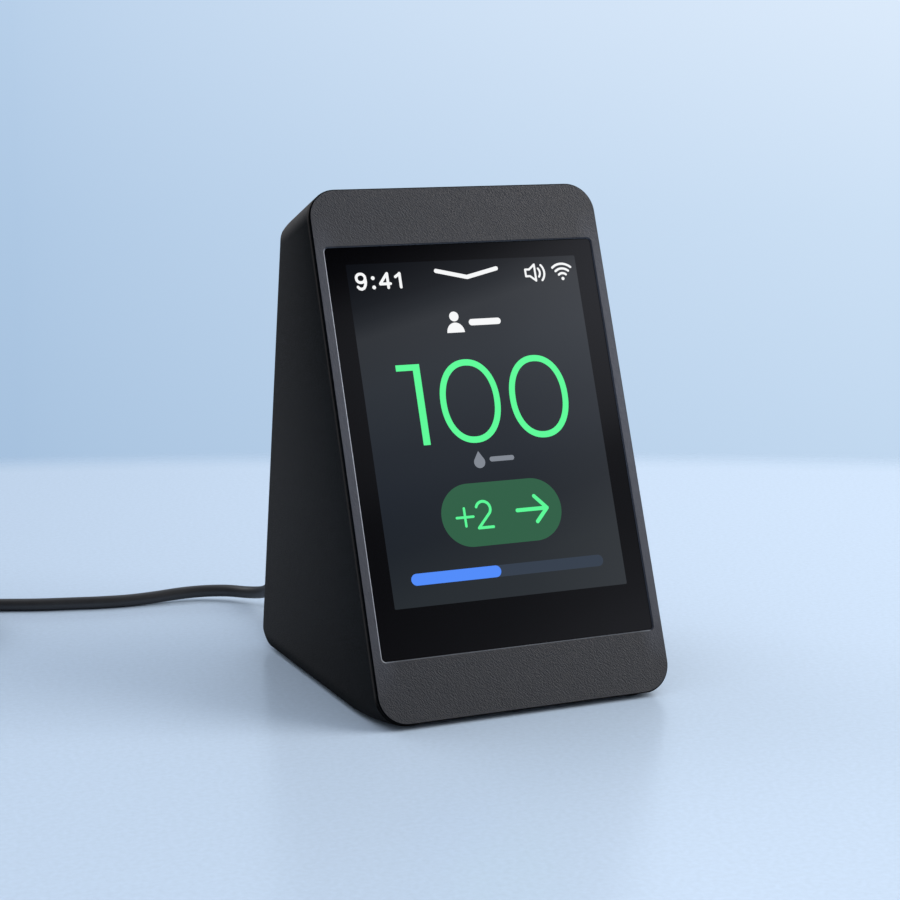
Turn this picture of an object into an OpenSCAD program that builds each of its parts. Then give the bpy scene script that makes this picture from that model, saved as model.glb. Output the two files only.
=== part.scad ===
// Table-top glucose display: a wedge-shaped moulded housing with a tilted touch screen,
// a perforated speaker grille and three push buttons on its rear wall, and a power lead.
// Millimetres, +Z up. The screen faces -Y and leans back. The origin is the middle of the
// housing's footprint, on the surface that the rubber feet stand on.

/* [Housing] */
// Width of the tilted front face
face_width = 76; // [66:0.2:95]
// Length of the tilted front face, from its lower to its upper edge
face_length = 128; // [118:1:156]
// Lean of the front face from upright, in degrees
face_tilt = 21; // [17:0.5:24]
// Depth of the base, from the front edge to the corner that the rear wall would make
base_depth = 85.5; // [80:0.5:104]
// Lean of the rear wall from upright, in degrees
rear_lean = 10; // [6:0.5:12]
// Radius of the four corners of the front outline
face_corner_r = 7.2; // [4:0.2:9]
// Radius of the upright rear edges
rear_side_r = 3; // [2.5:0.25:5]
// Radius between the top and the rear wall
rear_top_r = 14; // [8:0.5:16]
// Radius between the rear wall and the base
rear_bottom_r = 8; // [5:0.5:9]
// Wall thickness of the housing
wall = 2.2; // [1.8:0.1:2.8]
// Height of the gap that the rubber feet leave under the base
foot_h = 1.4; // [0.6:0.1:2]

/* [Front seam] */
// Thickness of the front plate's full-width land
land_t = 0.5; // [0.4:0.1:0.8]
// Width of the shadow groove behind the land
seam_w = 1.1; // [0.6:0.1:1.6]
// Depth of the shadow groove
seam_depth = 0.7; // [0.4:0.1:0.9]
// Chamfer on the edges beside the groove
edge_chamfer = 0.3; // [0.15:0.05:0.4]
// Thickness of the housing's rim that the front plate closes on
rim_t = 1.3; // [1.1:0.1:1.5]
// Clearance between the front plate's lip and the housing
lip_gap = 0.15; // [0.1:0.05:0.25]

/* [Screen] */
// Width of the cover glass
glass_w = 70.6; // [60:0.2:71]
// Length of the cover glass along the face
glass_l = 98.4; // [80:0.2:100]
// Distance from the face's lower edge to the glass
glass_bottom = 15.1; // [14:0.1:18]
// Corner radius of the cover glass
glass_r = 0.9; // [0.8:0.1:4]
// Thickness of the cover glass
glass_t = 1.1; // [0.7:0.1:1.4]
// How far the glass sits below the front plate
glass_recess = 0.3; // [0.1:0.05:0.5]
// Gap around the glass
glass_gap = 0.12; // [0.08:0.02:0.3]
// Width of the ledge that the glass is bonded to
ledge_w = 2.4; // [1.8:0.1:3]
// Thickness of the bonding tape
tape_t = 0.2; // [0.1:0.05:0.4]
// Thickness of the display cell
cell_t = 1.8; // [1.2:0.1:2.2]
// Thickness of the backlight tray
tray_t = 1.8; // [1.2:0.1:2.4]
// Clearance around the display cell
cell_gap = 0.4; // [0.2:0.1:0.8]
// Thickness of the steel bracket behind the display
bracket_t = 0.8; // [0.6:0.1:1.2]

/* [Base] */
// Margin between the side of the housing and the bottom cover
cover_side = 4.4; // [4:0.1:6]
// Width of the floor strip in front of the bottom cover
cover_front = 13; // [12:0.5:16]
// Width of the floor strip between the bottom cover and the rear feet
cover_back = 2; // [1.6:0.1:4]
// Gap around the bottom cover
cover_gap = 0.2; // [0.1:0.05:0.4]
// Diameter of the rubber feet
foot_d = 8; // [6:0.5:9]
// Depth that the feet are let into the base
foot_inset = 0.8; // [0.5:0.1:1]
// Height of the screw columns above the base
column_h = 10; // [8:0.5:12]

/* [Power inlet] */
// Place of the inlet across the rear wall
inlet_x = -25; // [-26:0.5:-12]
// Height of the inlet above the base
inlet_z = 8.2; // [8:0.1:10]
// Width of the plug's moulded grip
grip_w = 11; // [10:0.25:12.5]
// Height of the plug's moulded grip
grip_h = 6.2; // [5.5:0.1:7]
// Clearance between the grip and the wall
grip_gap = 0.4; // [0.3:0.05:0.8]
// Length of the strain relief behind the grip
relief_l = 8.8; // [7:0.1:12]

/* [Speaker] */
// Height of the speaker up the rear wall
speaker_v = 48; // [46:1:56]
// Diameter of the speaker
speaker_d = 28; // [23:1:30]
// Diameter of one grille hole
grille_hole_d = 1.8; // [1.2:0.1:2]
// Distance between grille holes
grille_pitch = 3.4; // [2.8:0.1:3.6]
// Rings of holes around the middle one
grille_rings = 3; // [2:1:3]

/* [Buttons] */
// Height of the button row up the rear wall
button_v = 89; // [86:1:96]
// Distance between buttons
button_pitch = 15; // [13:0.5:17]
// Width of a volume button
button_w = 10.4; // [8:0.2:11]
// Height of a button
button_h = 5.4; // [4.4:0.2:6.4]
// Clearance around a button
button_gap = 0.3; // [0.3:0.05:0.5]
// How far a button stands out of the wall
button_proud = 0.9; // [0.7:0.1:1.4]
// Travel of a button
button_travel = 0.4; // [0.25:0.05:0.5]

/* [Lead] */
// Diameter of the lead
lead_d = 3.4; // [3:0.1:3.6]
// Turns side by side in the coil
coil_columns = 3; // [2:1:3]
// Turns on top of each other in the coil
coil_rows = 4; // [3:1:4]
// Mean radius of the coil
coil_r = 18.7; // [17:0.1:20]

/* [Hidden] */
$fn = 48;
eps = 0.01;
reach = face_length + base_depth;       // longer than the housing in any direction
seat_w = land_t + seam_w;               // depth of the housing's front rim
pocket_w = glass_recess + glass_t + tape_t;
ledge_t = 1.4;                          // thickness of the front plate behind the glass
plate_w = pocket_w + ledge_t;           // back of the front plate
rebate_w = seat_w + 3;                  // end of the housing's inner rebate
cell_w = glass_recess + glass_t;        // front of the display cell
tray_w = cell_w + cell_t;
bracket_w = tray_w + tray_t;
aperture_w = glass_w - 2 * ledge_w;
aperture_l = glass_l - 2 * ledge_w;
tray_gap = 0.25;                        // around the backlight tray, in the aperture
tray_rim = 2;                           // solid rim around the tray's light guide
tray_slot = 0.6;                        // height of the light guide's slot
screw_d = 1.7;                          // every screw but those of the bottom cover
screw_head_d = 3.6;
screw_head_h = 1.2;
screw_hole_d = 2.3;                     // clearance hole
boss_d = 5;                             // posts that the screws go into
glass_mid = glass_bottom + glass_l / 2;
// The rearmost line of the housing is on the fillet between the rear wall and the base.
rear_run = rear_bottom_r / tan((90 - rear_lean) / 2);
overall_depth = base_depth - rear_run + rear_bottom_r;
front_y = -overall_depth / 2;

/* Places and points */
function unit(v) = v / norm(v);
function det(a, b) = a[0] * b[1] - a[1] * b[0];
function crossing(p, d, q, e) = p + d * det(q - p, e) / det(d, e);
face_up = [sin(face_tilt), cos(face_tilt)];
face_in = [cos(face_tilt), -sin(face_tilt)];
rear_up = [-sin(rear_lean), cos(rear_lean)];
rear_in = [-cos(rear_lean), -sin(rear_lean)];

// Y and Z of a point v up the face and w behind it, from the housing's front lower edge
function on_side(v, w) = face_up * v + face_in * w;

// The same from the rear wall: v up the wall and d inside it
function on_wall(v, d) = [base_depth, 0] + rear_up * v + rear_in * d;

// Y of the rear wall's inner side at height z above the base
inner_r = rear_bottom_r - wall;
function inner_line(z) = base_depth - wall / cos(rear_lean) - z * tan(rear_lean);
function inner_rear(z) = z > wall + inner_r * (1 + sin(rear_lean)) ? inner_line(z)
    : inner_line(wall + inner_r) - inner_r / cos(rear_lean)
        + sqrt(pow(inner_r, 2) - pow(z - wall - inner_r, 2));

// The frame of the front face: x across, y up the face, z out of it
module on_face(v = 0, w = 0) {
    translate([0, front_y, foot_h]) rotate([90 - face_tilt, 0, 0]) translate([0, v, -w]) children();
}

// The frame of the rear wall: x across, y up the wall, z into the housing
module on_rear(v = 0, d = 0) {
    translate([0, front_y + base_depth, foot_h]) rotate([90 + rear_lean, 0, 0])
        translate([0, v, d]) children();
}

// The frame of the base: x across, y back from the front edge, z up from the base
module on_base(y = 0, z = 0) {
    translate([0, front_y + y, foot_h + z]) children();
}

/* Outlines */
module rounded_rect(w, h, r) {
    square([w - 2 * r, h], center = true);
    square([w, h - 2 * r], center = true);
    for (x = [-1, 1], y = [-1, 1]) translate([x * (w / 2 - r), y * (h / 2 - r)]) circle(r);
}

function corner_points(p, a, b, r) =
    let (u = unit(a - p), w = unit(b - p), half = acos(u * w) / 2)
    [p + u * r / tan(half), p + w * r / tan(half), p + unit(u + w) * r / sin(half)];

// A polygon with a radius at each corner
module rounded_polygon(points, radii) {
    n = len(points);
    corners = [for (i = [0 : n - 1])
        corner_points(points[i], points[(i + n - 1) % n], points[(i + 1) % n], radii[i])];
    polygon([for (i = [0 : n - 1], k = [0, 1]) if (radii[i] > 0 || k == 0)
        radii[i] > 0 ? corners[i][k] : points[i]]);
    for (i = [0 : n - 1]) if (radii[i] > 0) translate(corners[i][2]) circle(radii[i]);
}

// A plate with rounded corners whose four sides flare out by grow over its height
module flared_plate(w, h, r, grow, t) {
    for (turn = [0, 1])
        rotate([0, 0, 90 * turn])
            rotate([90, 0, 0]) translate([0, 0, -((turn == 0 ? h : w) / 2 - r)])
                linear_extrude((turn == 0 ? h : w) - 2 * r)
                    polygon([[-(turn == 0 ? w : h) / 2, 0], [(turn == 0 ? w : h) / 2, 0],
                             [(turn == 0 ? w : h) / 2 + grow, t], [-(turn == 0 ? w : h) / 2 - grow, t]]);
    for (x = [-1, 1], y = [-1, 1])
        translate([x * (w / 2 - r), y * (h / 2 - r), 0]) cylinder(h = t, r1 = r, r2 = r + grow);
}

/* Envelope of the housing, drawn in by inset on every side but the front */
module side_profile(inset) {
    floor_p = [0, inset];
    front_p = -2 * face_in;
    rear_p = [base_depth, 0] + rear_in * inset;
    top_p = face_up * (face_length - inset);
    rounded_polygon(
        [crossing(floor_p, [1, 0], front_p, face_up), crossing(floor_p, [1, 0], rear_p, rear_up),
         crossing(top_p, face_in, rear_p, rear_up), crossing(top_p, face_in, front_p, face_up)],
        [0, rear_bottom_r - inset, rear_top_r - inset, 0]);
}

module envelope(inset = 0, front = 0, back = reach) {
    half = face_width / 2 - inset;
    intersection() {
        on_face(face_length / 2, back) linear_extrude(back - front)
            rounded_rect(2 * half, face_length - 2 * inset, face_corner_r - inset);
        translate([-face_width, front_y, foot_h]) rotate([90, 0, 90])
            linear_extrude(2 * face_width) side_profile(inset);
        on_rear() translate([0, reach, 0]) rotate([90, 0, 0]) linear_extrude(2 * reach)
            rounded_polygon([[-half, inset], [half, inset], [half, reach], [-half, reach]],
                            [rear_side_r - inset, rear_side_r - inset, 0, 0]);
    }
}

/* Screws */
drive = [2.2, 0.5, 0.6];                // length, width and depth of the cross slot
module pan_screw(length) {
    difference() {
        cylinder(h = screw_head_h, d = screw_head_d);
        for (turn = [0, 90]) rotate([0, 0, turn])
            translate([-drive[0] / 2, -drive[1] / 2, screw_head_h - drive[2]]) cube(drive);
    }
    translate([0, 0, -length]) cylinder(h = length, d = screw_d);
}

/* Front plate */
hook_pitch = 34;
hook_v = [glass_mid - hook_pitch, glass_mid, glass_mid + hook_pitch];
hook_w = 8;                              // width of a snap hook along the face
hook_t = 1.2;
hook_x = face_width / 2 - wall - lip_gap;
hook_end = plate_w + 6;
barb = 0.7;
post_x = face_width / 2 - 12;
post_d = 4.8;
// The bracket's lower edge stays clear of the floor, behind the display.
bracket_edge = 3.2;                      // from a post's axis to the bracket's edge
bracket_low = (wall + 0.35 + (bracket_w + bracket_t) * sin(face_tilt)) / cos(face_tilt);
post_low = bracket_low + bracket_edge;
post_high = (glass_bottom + glass_l + face_length) / 2;

module hook_barb() {
    polygon([[0, 0], [barb, 1.2], [barb, 1.8], [0, 3]]);
}

module snap_hook(side) {
    mirror([side < 0 ? 1 : 0, 0, 0]) {
        translate([hook_x - hook_t, -hook_w / 2, -hook_end])
            cube([hook_t, hook_w, hook_end - plate_w + 0.6]);
        translate([hook_x, hook_w / 2, -hook_end + 0.3]) rotate([90, 0, 0])
            linear_extrude(hook_w) hook_barb();
    }
}

// The front outline with its chamfer, from depth w to w + edge_chamfer
module chamfered_edge(w) {
    on_face(face_length / 2, w) mirror([0, 0, 1])
        flared_plate(face_width - 2 * edge_chamfer, face_length - 2 * edge_chamfer,
                     face_corner_r - edge_chamfer, edge_chamfer, edge_chamfer);
}

module front_bezel() {
    color([0.29, 0.30, 0.32]) difference() {
        union() {
            intersection() {
                union() {
                    chamfered_edge(0);
                    on_face(face_length / 2, land_t) linear_extrude(land_t - edge_chamfer)
                        rounded_rect(face_width, face_length, face_corner_r);
                }
                translate([-face_width, front_y - 5, foot_h]) cube([2 * face_width, reach, reach]);
            }
            envelope(seam_depth, edge_chamfer, seat_w);
            envelope(rim_t + lip_gap, seat_w - eps, plate_w);
            for (x = [-1, 1]) {
                for (v = hook_v) on_face(v) snap_hook(x);
                for (v = [post_low, post_high])
                    on_face(v, bracket_w) translate([x * post_x, 0, 0])
                        cylinder(h = bracket_w - plate_w + 0.5, d = post_d);
            }
        }
        on_face(glass_mid, pocket_w) linear_extrude(pocket_w + 1)
            rounded_rect(glass_w + 2 * glass_gap, glass_l + 2 * glass_gap, glass_r + glass_gap);
        on_face(glass_mid, edge_chamfer)
            flared_plate(glass_w + 2 * glass_gap, glass_l + 2 * glass_gap, glass_r + glass_gap,
                         edge_chamfer + eps, edge_chamfer + eps);
        on_face(glass_mid, plate_w + 1) linear_extrude(plate_w + 1) rounded_rect(aperture_w, aperture_l, 1);
        for (x = [-1, 1], v = [post_low, post_high])
            on_face(v, bracket_w + 1) translate([x * post_x, 0, 0]) cylinder(h = 4.2, d = screw_d);
    }
}

module cover_glass() {
    color([0.05, 0.06, 0.07]) on_face(glass_mid, cell_w) linear_extrude(glass_t)
        rounded_rect(glass_w, glass_l, glass_r);
}

module glass_tape() {
    color([0.1, 0.1, 0.1]) on_face(glass_mid, pocket_w) linear_extrude(tape_t) difference() {
        rounded_rect(glass_w - 0.4, glass_l - 0.4, glass_r);
        rounded_rect(aperture_w + 0.4, aperture_l + 0.4, 1);
    }
}

module display_cell() {
    color([0.14, 0.15, 0.17]) on_face(glass_mid, tray_w) linear_extrude(cell_t)
        square([aperture_w - 2 * cell_gap, aperture_l - 2 * cell_gap], center = true);
}

module backlight_tray() {
    color([0.75, 0.76, 0.77]) on_face(glass_mid, bracket_w) difference() {
        linear_extrude(tray_t) rounded_rect(aperture_w - 2 * tray_gap, aperture_l - 2 * tray_gap, 0.8);
        // light guide's slot, open at the lower edge for the flat cable
        translate([0, -tray_rim, tray_t / 2 - tray_slot / 2]) linear_extrude(tray_slot)
            rounded_rect(aperture_w - 2 * tray_rim, aperture_l - 2 * tray_gap, 0.8);
    }
}

flex_w = 16;
flex_t = 0.2;
connector_y = 2;                         // from the board's front edge
connector_h = 1.8;
flex_slot_v = glass_bottom - 1;
bracket_high = post_high + bracket_edge;

module display_bracket() {
    color([0.62, 0.63, 0.65]) on_face(0, bracket_w + bracket_t) linear_extrude(bracket_t) difference() {
        translate([0, (bracket_low + bracket_high) / 2])
            rounded_rect(aperture_w, bracket_high - bracket_low, 3);
        for (v = [-1, 1]) translate([0, glass_mid + v * aperture_l / 4])
            rounded_rect(aperture_w - 16, aperture_l / 2 - 12, 4);
        translate([0, flex_slot_v]) rounded_rect(flex_w + 3, 5, 1);
        for (x = [-1, 1], v = [post_low, post_high]) translate([x * post_x, v]) circle(d = screw_hole_d);
    }
}

module bracket_screws() {
    color([0.7, 0.7, 0.72]) for (x = [-1, 1], v = [post_low, post_high])
        on_face(v, bracket_w + bracket_t) translate([x * post_x, 0, 0])
            mirror([0, 0, 1]) pan_screw(3.6);
}

/* Base and boards */
cover_x = face_width / 2 - cover_side;
foot_x = face_width / 2 - 9;
foot_y = [cover_front / 2 + 0.6, base_depth - rear_run - foot_d / 2 - 0.8];
cover_y0 = cover_front;
cover_y1 = foot_y[1] - foot_d / 2 - cover_back;
cover_mid = (cover_y0 + cover_y1) / 2;
column_x = cover_x - 5;
column_y = [cover_y0 + 5, cover_y1 - 5];
column_d = 6.4;
socket_w = 8.94;
socket_h = 3.26;
socket_l = 7.35;
board_t = 1.6;
board_z = inlet_z - socket_h / 2 - board_t;
// mouth of the socket, just clear of the wall above and below it
socket_y = min(inner_rear(inlet_z - socket_h / 2), inner_rear(inlet_z + socket_h / 2)) - 0.3;
board_x = column_x - column_d / 2 - 0.7;
board_y0 = cover_y0 + 14;
board_y1 = min(socket_y - 0.8, inner_rear(board_z) - 0.3);
board_rear_y = column_y[1] + column_d / 2 + 0.8;
board_tab_x = inlet_x - socket_w / 2 - 1.5;    // outer edge of the tab that carries the socket
standoff_x = board_x - 4;
standoff_y = [board_y0 + 5, cover_y1 - 6];

module column(x, y, bore) {
    on_base(y, wall) translate([x, 0, 0]) difference() {
        union() {
            cylinder(h = column_h, d = column_d);
            translate([x > 0 ? 0 : -(face_width / 2 - wall + 0.4 - abs(x)), -0.8, 0])
                cube([face_width / 2 - wall + 0.4 - abs(x), 1.6, column_h - 1]);
        }
        translate([0, 0, -1]) cylinder(h = column_h, d = bore);
    }
}

speaker_depth = wall + 1;               // front of the speaker, behind its gasket
speaker_flange = 1.4;
magnet_depth = speaker_depth + 7.2;     // back of the magnet
clamp_x = speaker_d / 2 + 5.2;
clamp_t = 1;
terminal_r = speaker_d / 2 - 3.3;       // from the speaker's axis to its terminal
terminal_h = 4;

button_x = [-button_pitch, 0, button_pitch];
flange_d = wall + button_gap;
flange_t = 0.9;
stem_d = flange_d + flange_t;
stem_l = 1.6;
stem_diameter = 3;
plunger_d = stem_d + stem_l;            // depth of the plunger's outer end
plunger_out = button_travel + 0.4;      // length of a plunger outside its switch
plunger_in = 1.2;                       // and inside it
plunger_diameter = 2;
switch_size = 6;
case_d = plunger_d + plunger_out;
case_bore = plunger_in + button_travel + 0.4;
case_t = case_bore + 1.4;
button_board_d = case_d + case_t;
button_board_t = 1.2;
button_post_x = button_pitch + 11.5;

module grille_holes() {
    for (i = [-grille_rings : grille_rings], j = [-grille_rings : grille_rings])
        if (abs(i + j) <= grille_rings)
            translate([grille_pitch * (i + j / 2), grille_pitch * sin(60) * j, -1])
                cylinder(h = wall + 2, d = grille_hole_d, $fn = 24);
}

module housing_shell() {
    difference() {
        union() {
            envelope(0, seat_w + edge_chamfer);
            intersection() {
                envelope(0, seat_w);
                chamfered_edge(seat_w);
            }
        }
        envelope(wall, rebate_w - eps);
        envelope(rim_t, seat_w - 1, rebate_w);
    }
}

module rear_housing() {
    color([0.11, 0.115, 0.125]) difference() {
        union() {
            housing_shell();
            for (x = [-1, 1], y = column_y) column(x * column_x, y, 2.1);
            // ring, posts and board bosses on the rear wall
            on_rear(speaker_v, wall - 0.4) {
                difference() {
                    cylinder(h = 3.4, d = speaker_d + 3.6);
                    translate([0, 0, -1]) cylinder(h = 6, d = speaker_d + 0.6);
                }
                for (x = [-1, 1]) translate([x * clamp_x, 0, 0])
                    cylinder(h = magnet_depth - wall + 0.4, d = boss_d);
            }
            on_rear(button_v, wall - 0.4) for (x = [-1, 1]) translate([x * button_post_x, 0, 0])
                cylinder(h = button_board_d - wall + 0.4, d = boss_d);
        }
        // bottom cover
        on_base(cover_mid, -1) linear_extrude(wall + 1 + eps)
            rounded_rect(2 * cover_x, cover_y1 - cover_y0, 4);
        for (x = [-1, 1], y = foot_y) on_base(y, -1) translate([x * foot_x, 0, 0])
            cylinder(h = 1 + foot_inset, d = foot_d + 0.2);
        // inlet
        on_base(base_depth + 3, inlet_z) translate([inlet_x, 0, 0]) rotate([90, 0, 0])
            linear_extrude(base_depth + 6 - socket_y)
                rounded_rect(grip_w + 2 * grip_gap, grip_h + 2 * grip_gap, grip_h / 2 + grip_gap - 0.01);
        // grille, buttons and screw bores of the rear wall
        on_rear(speaker_v) {
            grille_holes();
            for (x = [-1, 1]) translate([x * clamp_x, 0, wall]) cylinder(h = magnet_depth, d = screw_d);
        }
        on_rear(button_v) {
            for (k = [0 : 2]) translate([button_x[k], 0, -2]) linear_extrude(wall + 4)
                button_outline(k, button_gap);
            for (x = [-1, 1]) translate([x * button_post_x, 0, wall])
                cylinder(h = button_board_d, d = screw_d);
        }
        // pockets that the snap hooks click into
        for (side = [0, 1], v = hook_v) on_face(v, hook_end + 0.4) mirror([side, 0, 0])
            translate([hook_x + lip_gap - eps, -hook_w / 2 - 0.4, 0])
                cube([barb - lip_gap + 0.2, hook_w + 0.8, 4]);
    }
}

// Blank label in a shallow recess of the bottom cover
label_w = 34;
label_l = 9;
label_t = 0.15;
label_inset = 0.2;
label_y = cover_y1 - label_l / 2 - 3;

module rating_label() {
    color([0.7, 0.7, 0.71]) on_base(label_y, label_inset - label_t) linear_extrude(label_t)
        rounded_rect(label_w, label_l, 0.8);
}

module bottom_cover() {
    color([0.12, 0.12, 0.13]) difference() {
        union() {
            on_base(cover_mid, 0) linear_extrude(wall)
                rounded_rect(2 * (cover_x - cover_gap), cover_y1 - cover_y0 - 2 * cover_gap, 4 - cover_gap);
            for (x = [-1, 1], y = standoff_y) on_base(y, wall - 0.4) translate([x * standoff_x, 0, 0])
                cylinder(h = board_z - wall + 0.4, d = boss_d);
        }
        for (x = [-1, 1], y = column_y) on_base(y, -eps) translate([x * column_x, 0, 0]) {
            cylinder(h = wall + 1, d = 2.8);
            cylinder(h = 1.1, d1 = 5.2, d2 = 2.8);
        }
        for (x = [-1, 1], y = standoff_y) on_base(y, 0.8) translate([x * standoff_x, 0, 0])
            cylinder(h = 20, d = screw_d);
        on_base(label_y, -eps) linear_extrude(label_inset + eps)
            rounded_rect(label_w + 0.4, label_l + 0.4, 1);
        for (k = [-3 : 3]) on_base(cover_mid, -1) translate([k * 4.5, 0, 0])
            linear_extrude(wall + 2) rounded_rect(1.6, 20, 0.79);
    }
}

module cover_screws() {
    color([0.25, 0.25, 0.27]) for (x = [-1, 1], y = column_y) on_base(y, 0) translate([x * column_x, 0, 0])
        difference() {
            union() {
                cylinder(h = 1.1, d1 = 4.9, d2 = 2.5);
                cylinder(h = 7, d = 2.1);
            }
            translate([0, 0, -eps]) cylinder(h = 0.7, d = 1.6, $fn = 6);
        }
}

module rubber_feet() {
    bevel = 0.4;
    color([0.08, 0.08, 0.08]) for (x = [-1, 1], y = foot_y)
        on_base(y, -foot_h) translate([x * foot_x, 0, 0]) {
            cylinder(h = bevel + eps, d1 = foot_d - 2 * bevel, d2 = foot_d);
            translate([0, 0, bevel]) cylinder(h = foot_h + foot_inset - bevel, d = foot_d);
        }
}

module main_board() {
    color([0.07, 0.30, 0.18]) on_base(0, board_z) difference() {
        linear_extrude(board_t) {
            translate([0, (board_y0 + board_y1) / 2]) rounded_rect(2 * board_x, board_y1 - board_y0, 1.5);
            translate([board_tab_x / 2, (board_rear_y + board_y1) / 2])
                rounded_rect(-board_tab_x, board_y1 - board_rear_y, 1.5);
        }
        for (x = [-1, 1], y = standoff_y)
            translate([x * standoff_x, y, -1]) cylinder(h = board_t + 2, d = screw_hole_d);
    }
}

module board_screws() {
    color([0.7, 0.7, 0.72]) for (x = [-1, 1], y = standoff_y)
        on_base(y, board_z + board_t) translate([x * standoff_x, 0, 0]) pan_screw(5);
}

shield_y = board_y0 + 21;
module processor_shield() {
    color([0.72, 0.73, 0.74]) on_base(shield_y, board_z + board_t) difference() {
        linear_extrude(2.2) rounded_rect(19, 19, 0.8);
        translate([0, 0, -1]) linear_extrude(2.9) rounded_rect(18.4, 18.4, 0.5);
    }
}

wifi_at = [8, shield_y + 20];
wifi_board_t = 0.8;
coax_at = wifi_at + [-4, 6.3];          // connector of the antenna's cable
coax_connector_d = 2.4;
coax_connector_h = 1.3;
module wifi_module() {
    on_base(0, board_z + board_t) {
        color([0.05, 0.22, 0.2]) translate(wifi_at) linear_extrude(wifi_board_t)
            square([13, 17], center = true);
        color([0.75, 0.75, 0.76]) translate([wifi_at[0], wifi_at[1] - 1.8, wifi_board_t - 0.1])
            linear_extrude(1.9) rounded_rect(11.6, 12, 0.6);
        color([0.75, 0.75, 0.76]) translate([coax_at[0], coax_at[1], wifi_board_t - 0.1])
            cylinder(h = coax_connector_h + 0.1, d = coax_connector_d);
    }
}

// A connector for a flat cable of width w, open towards the front
connector_l = 4;
connector_slot = 0.6;
module flat_connector(w, slot) {
    translate([-w / 2 - 1.5, 0, 0]) difference() {
        cube([w + 3, connector_l, connector_h]);
        translate([1.2, -1, (connector_h - slot) / 2]) cube([w + 0.6, connector_l - 0.6, slot]);
    }
}

rear_connector_y = board_y1 - 8;
button_flex_at = 19;
button_flex_w = 6;
speaker_cable_at = -4;
speaker_cable_w = 2.4;
speaker_cable_t = 1.1;
module board_parts() {
    on_base(0, board_z + board_t) {
        color([0.9, 0.88, 0.82]) {
            translate([0, board_y0 + connector_y, 0]) flat_connector(flex_w, connector_slot);
            translate([button_flex_at, rear_connector_y, 0]) flat_connector(button_flex_w, connector_slot);
            translate([speaker_cable_at, rear_connector_y, 0])
                flat_connector(speaker_cable_w, speaker_cable_t + 0.2);
        }
        color([0.15, 0.15, 0.16]) translate([-14, shield_y + 18, 0]) linear_extrude(3)
            rounded_rect(6.4, 6.4, 1);
        color([0.16, 0.17, 0.2]) translate([-15, shield_y + 9.5, 0]) cylinder(h = 6, d = 5);
        // chips and a row of small parts beside the shield
        color([0.1, 0.1, 0.1]) {
            translate([15.2, shield_y - 4, 0.5]) cube([6, 5, 1], center = true);
            translate([-15.5, shield_y - 2, 0.5]) cube([7, 7, 1], center = true);
        }
        color([0.6, 0.5, 0.38]) for (k = [0 : 4])
            translate([13 + 2 * k, shield_y + 4, 0.4]) cube([1, 1.8, 0.8], center = true);
    }
}

module usb_socket() {
    color([0.78, 0.78, 0.8]) on_base(socket_y, inlet_z) translate([inlet_x, 0, 0]) rotate([90, 0, 0]) {
        difference() {
            linear_extrude(socket_l) rounded_rect(socket_w, socket_h, socket_h / 2 - 0.01);
            translate([0, 0, -1]) linear_extrude(socket_l)
                rounded_rect(socket_w - 0.6, socket_h - 0.6, socket_h / 2 - 0.31);
        }
        translate([0, 0, 1]) linear_extrude(socket_l - 1.4) square([6.6, 0.7], center = true);
    }
}

antenna_size = [0.2, 22, 8];
antenna_x = face_width / 2 - wall - antenna_size[0];
antenna_y = base_depth / 2;
antenna_z = 60;
coax_d = 1.2;
module antenna_patch() {
    color([0.75, 0.55, 0.2]) on_base(antenna_y, antenna_z) translate([antenna_x, 0, 0]) cube(antenna_size);
}

module display_flex() {
    start = on_side(glass_bottom + ledge_w + 3, tray_w + tray_t / 2);
    through = on_side(flex_slot_v, bracket_w + bracket_t / 2);
    end = [board_y0 + connector_y + 2, board_z + board_t + connector_h / 2];
    color([0.72, 0.45, 0.12]) flat_cable(0, flex_w, flex_t, concat(
        [start], bezier(start - face_up * 2, start - face_up * 6, through - face_in * 1.6, through, 8),
        bezier(through + face_in * 0.2, through + face_in * 3, end - [9, 0], end, 12)));
}

// A flat cable in the plane across the housing's width, centred at x
module flat_cable(x, w, t, route) {
    translate([x - w / 2, front_y, foot_h]) rotate([90, 0, 90]) linear_extrude(w) ribbon(route, t);
}

module button_flex() {
    along = button_board_d + button_board_t + flex_t / 2;
    behind = magnet_depth + clamp_t + screw_head_h + 1.3;
    leave = on_wall(button_v - 3, along);
    pass = on_wall(speaker_v + 8, behind);
    below = on_wall(speaker_v - 14, behind);
    end = [rear_connector_y + 2, board_z + board_t + connector_h / 2];
    color([0.72, 0.45, 0.12]) flat_cable(button_flex_at, button_flex_w, flex_t, concat(
        [on_wall(button_v + 2, along)], bezier(leave, leave - rear_up * 8, pass + rear_up * 8, pass, 8),
        bezier(below, below - rear_up * 12, end - [12, 0], end - [3, 0], 12), [end]));
}

module speaker_cable() {
    terminal = on_wall(speaker_v - terminal_r, speaker_depth + terminal_h);
    start = terminal + rear_in;
    end = [rear_connector_y + 2, board_z + board_t + connector_h / 2];
    color([0.3, 0.06, 0.05]) flat_cable(speaker_cable_at, speaker_cable_w, speaker_cable_t, concat(
        [terminal], bezier(start, start + rear_in * 7, end - [15, 0], end - [3, 0], 14), [end]));
}

module antenna_cable() {
    x = antenna_x - coax_d / 2;
    end = [coax_at[0] + coax_connector_d / 2 + eps, coax_at[1],
           board_z + board_t + wifi_board_t + coax_d / 2 + 0.1];
    route = [[x, antenna_y + 20, antenna_z + 2], [x, antenna_y + 20.5, antenna_z - 8],
             [x, (antenna_y + 20 + end[1]) / 2, antenna_z - 24], [x - 1.5, end[1] - 6, 24],
             [x - 7, end[1] - 3.5, 16], end + [17, -1, 2.8], end + [11, -0.2, 2],
             end + [6.5, 0, 1], end + [2.5, 0, 0.1], end];
    color([0.1, 0.1, 0.1]) on_base() tube(smooth_path(route, 3), coax_d, 8, [0, 1, 0]);
}

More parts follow.
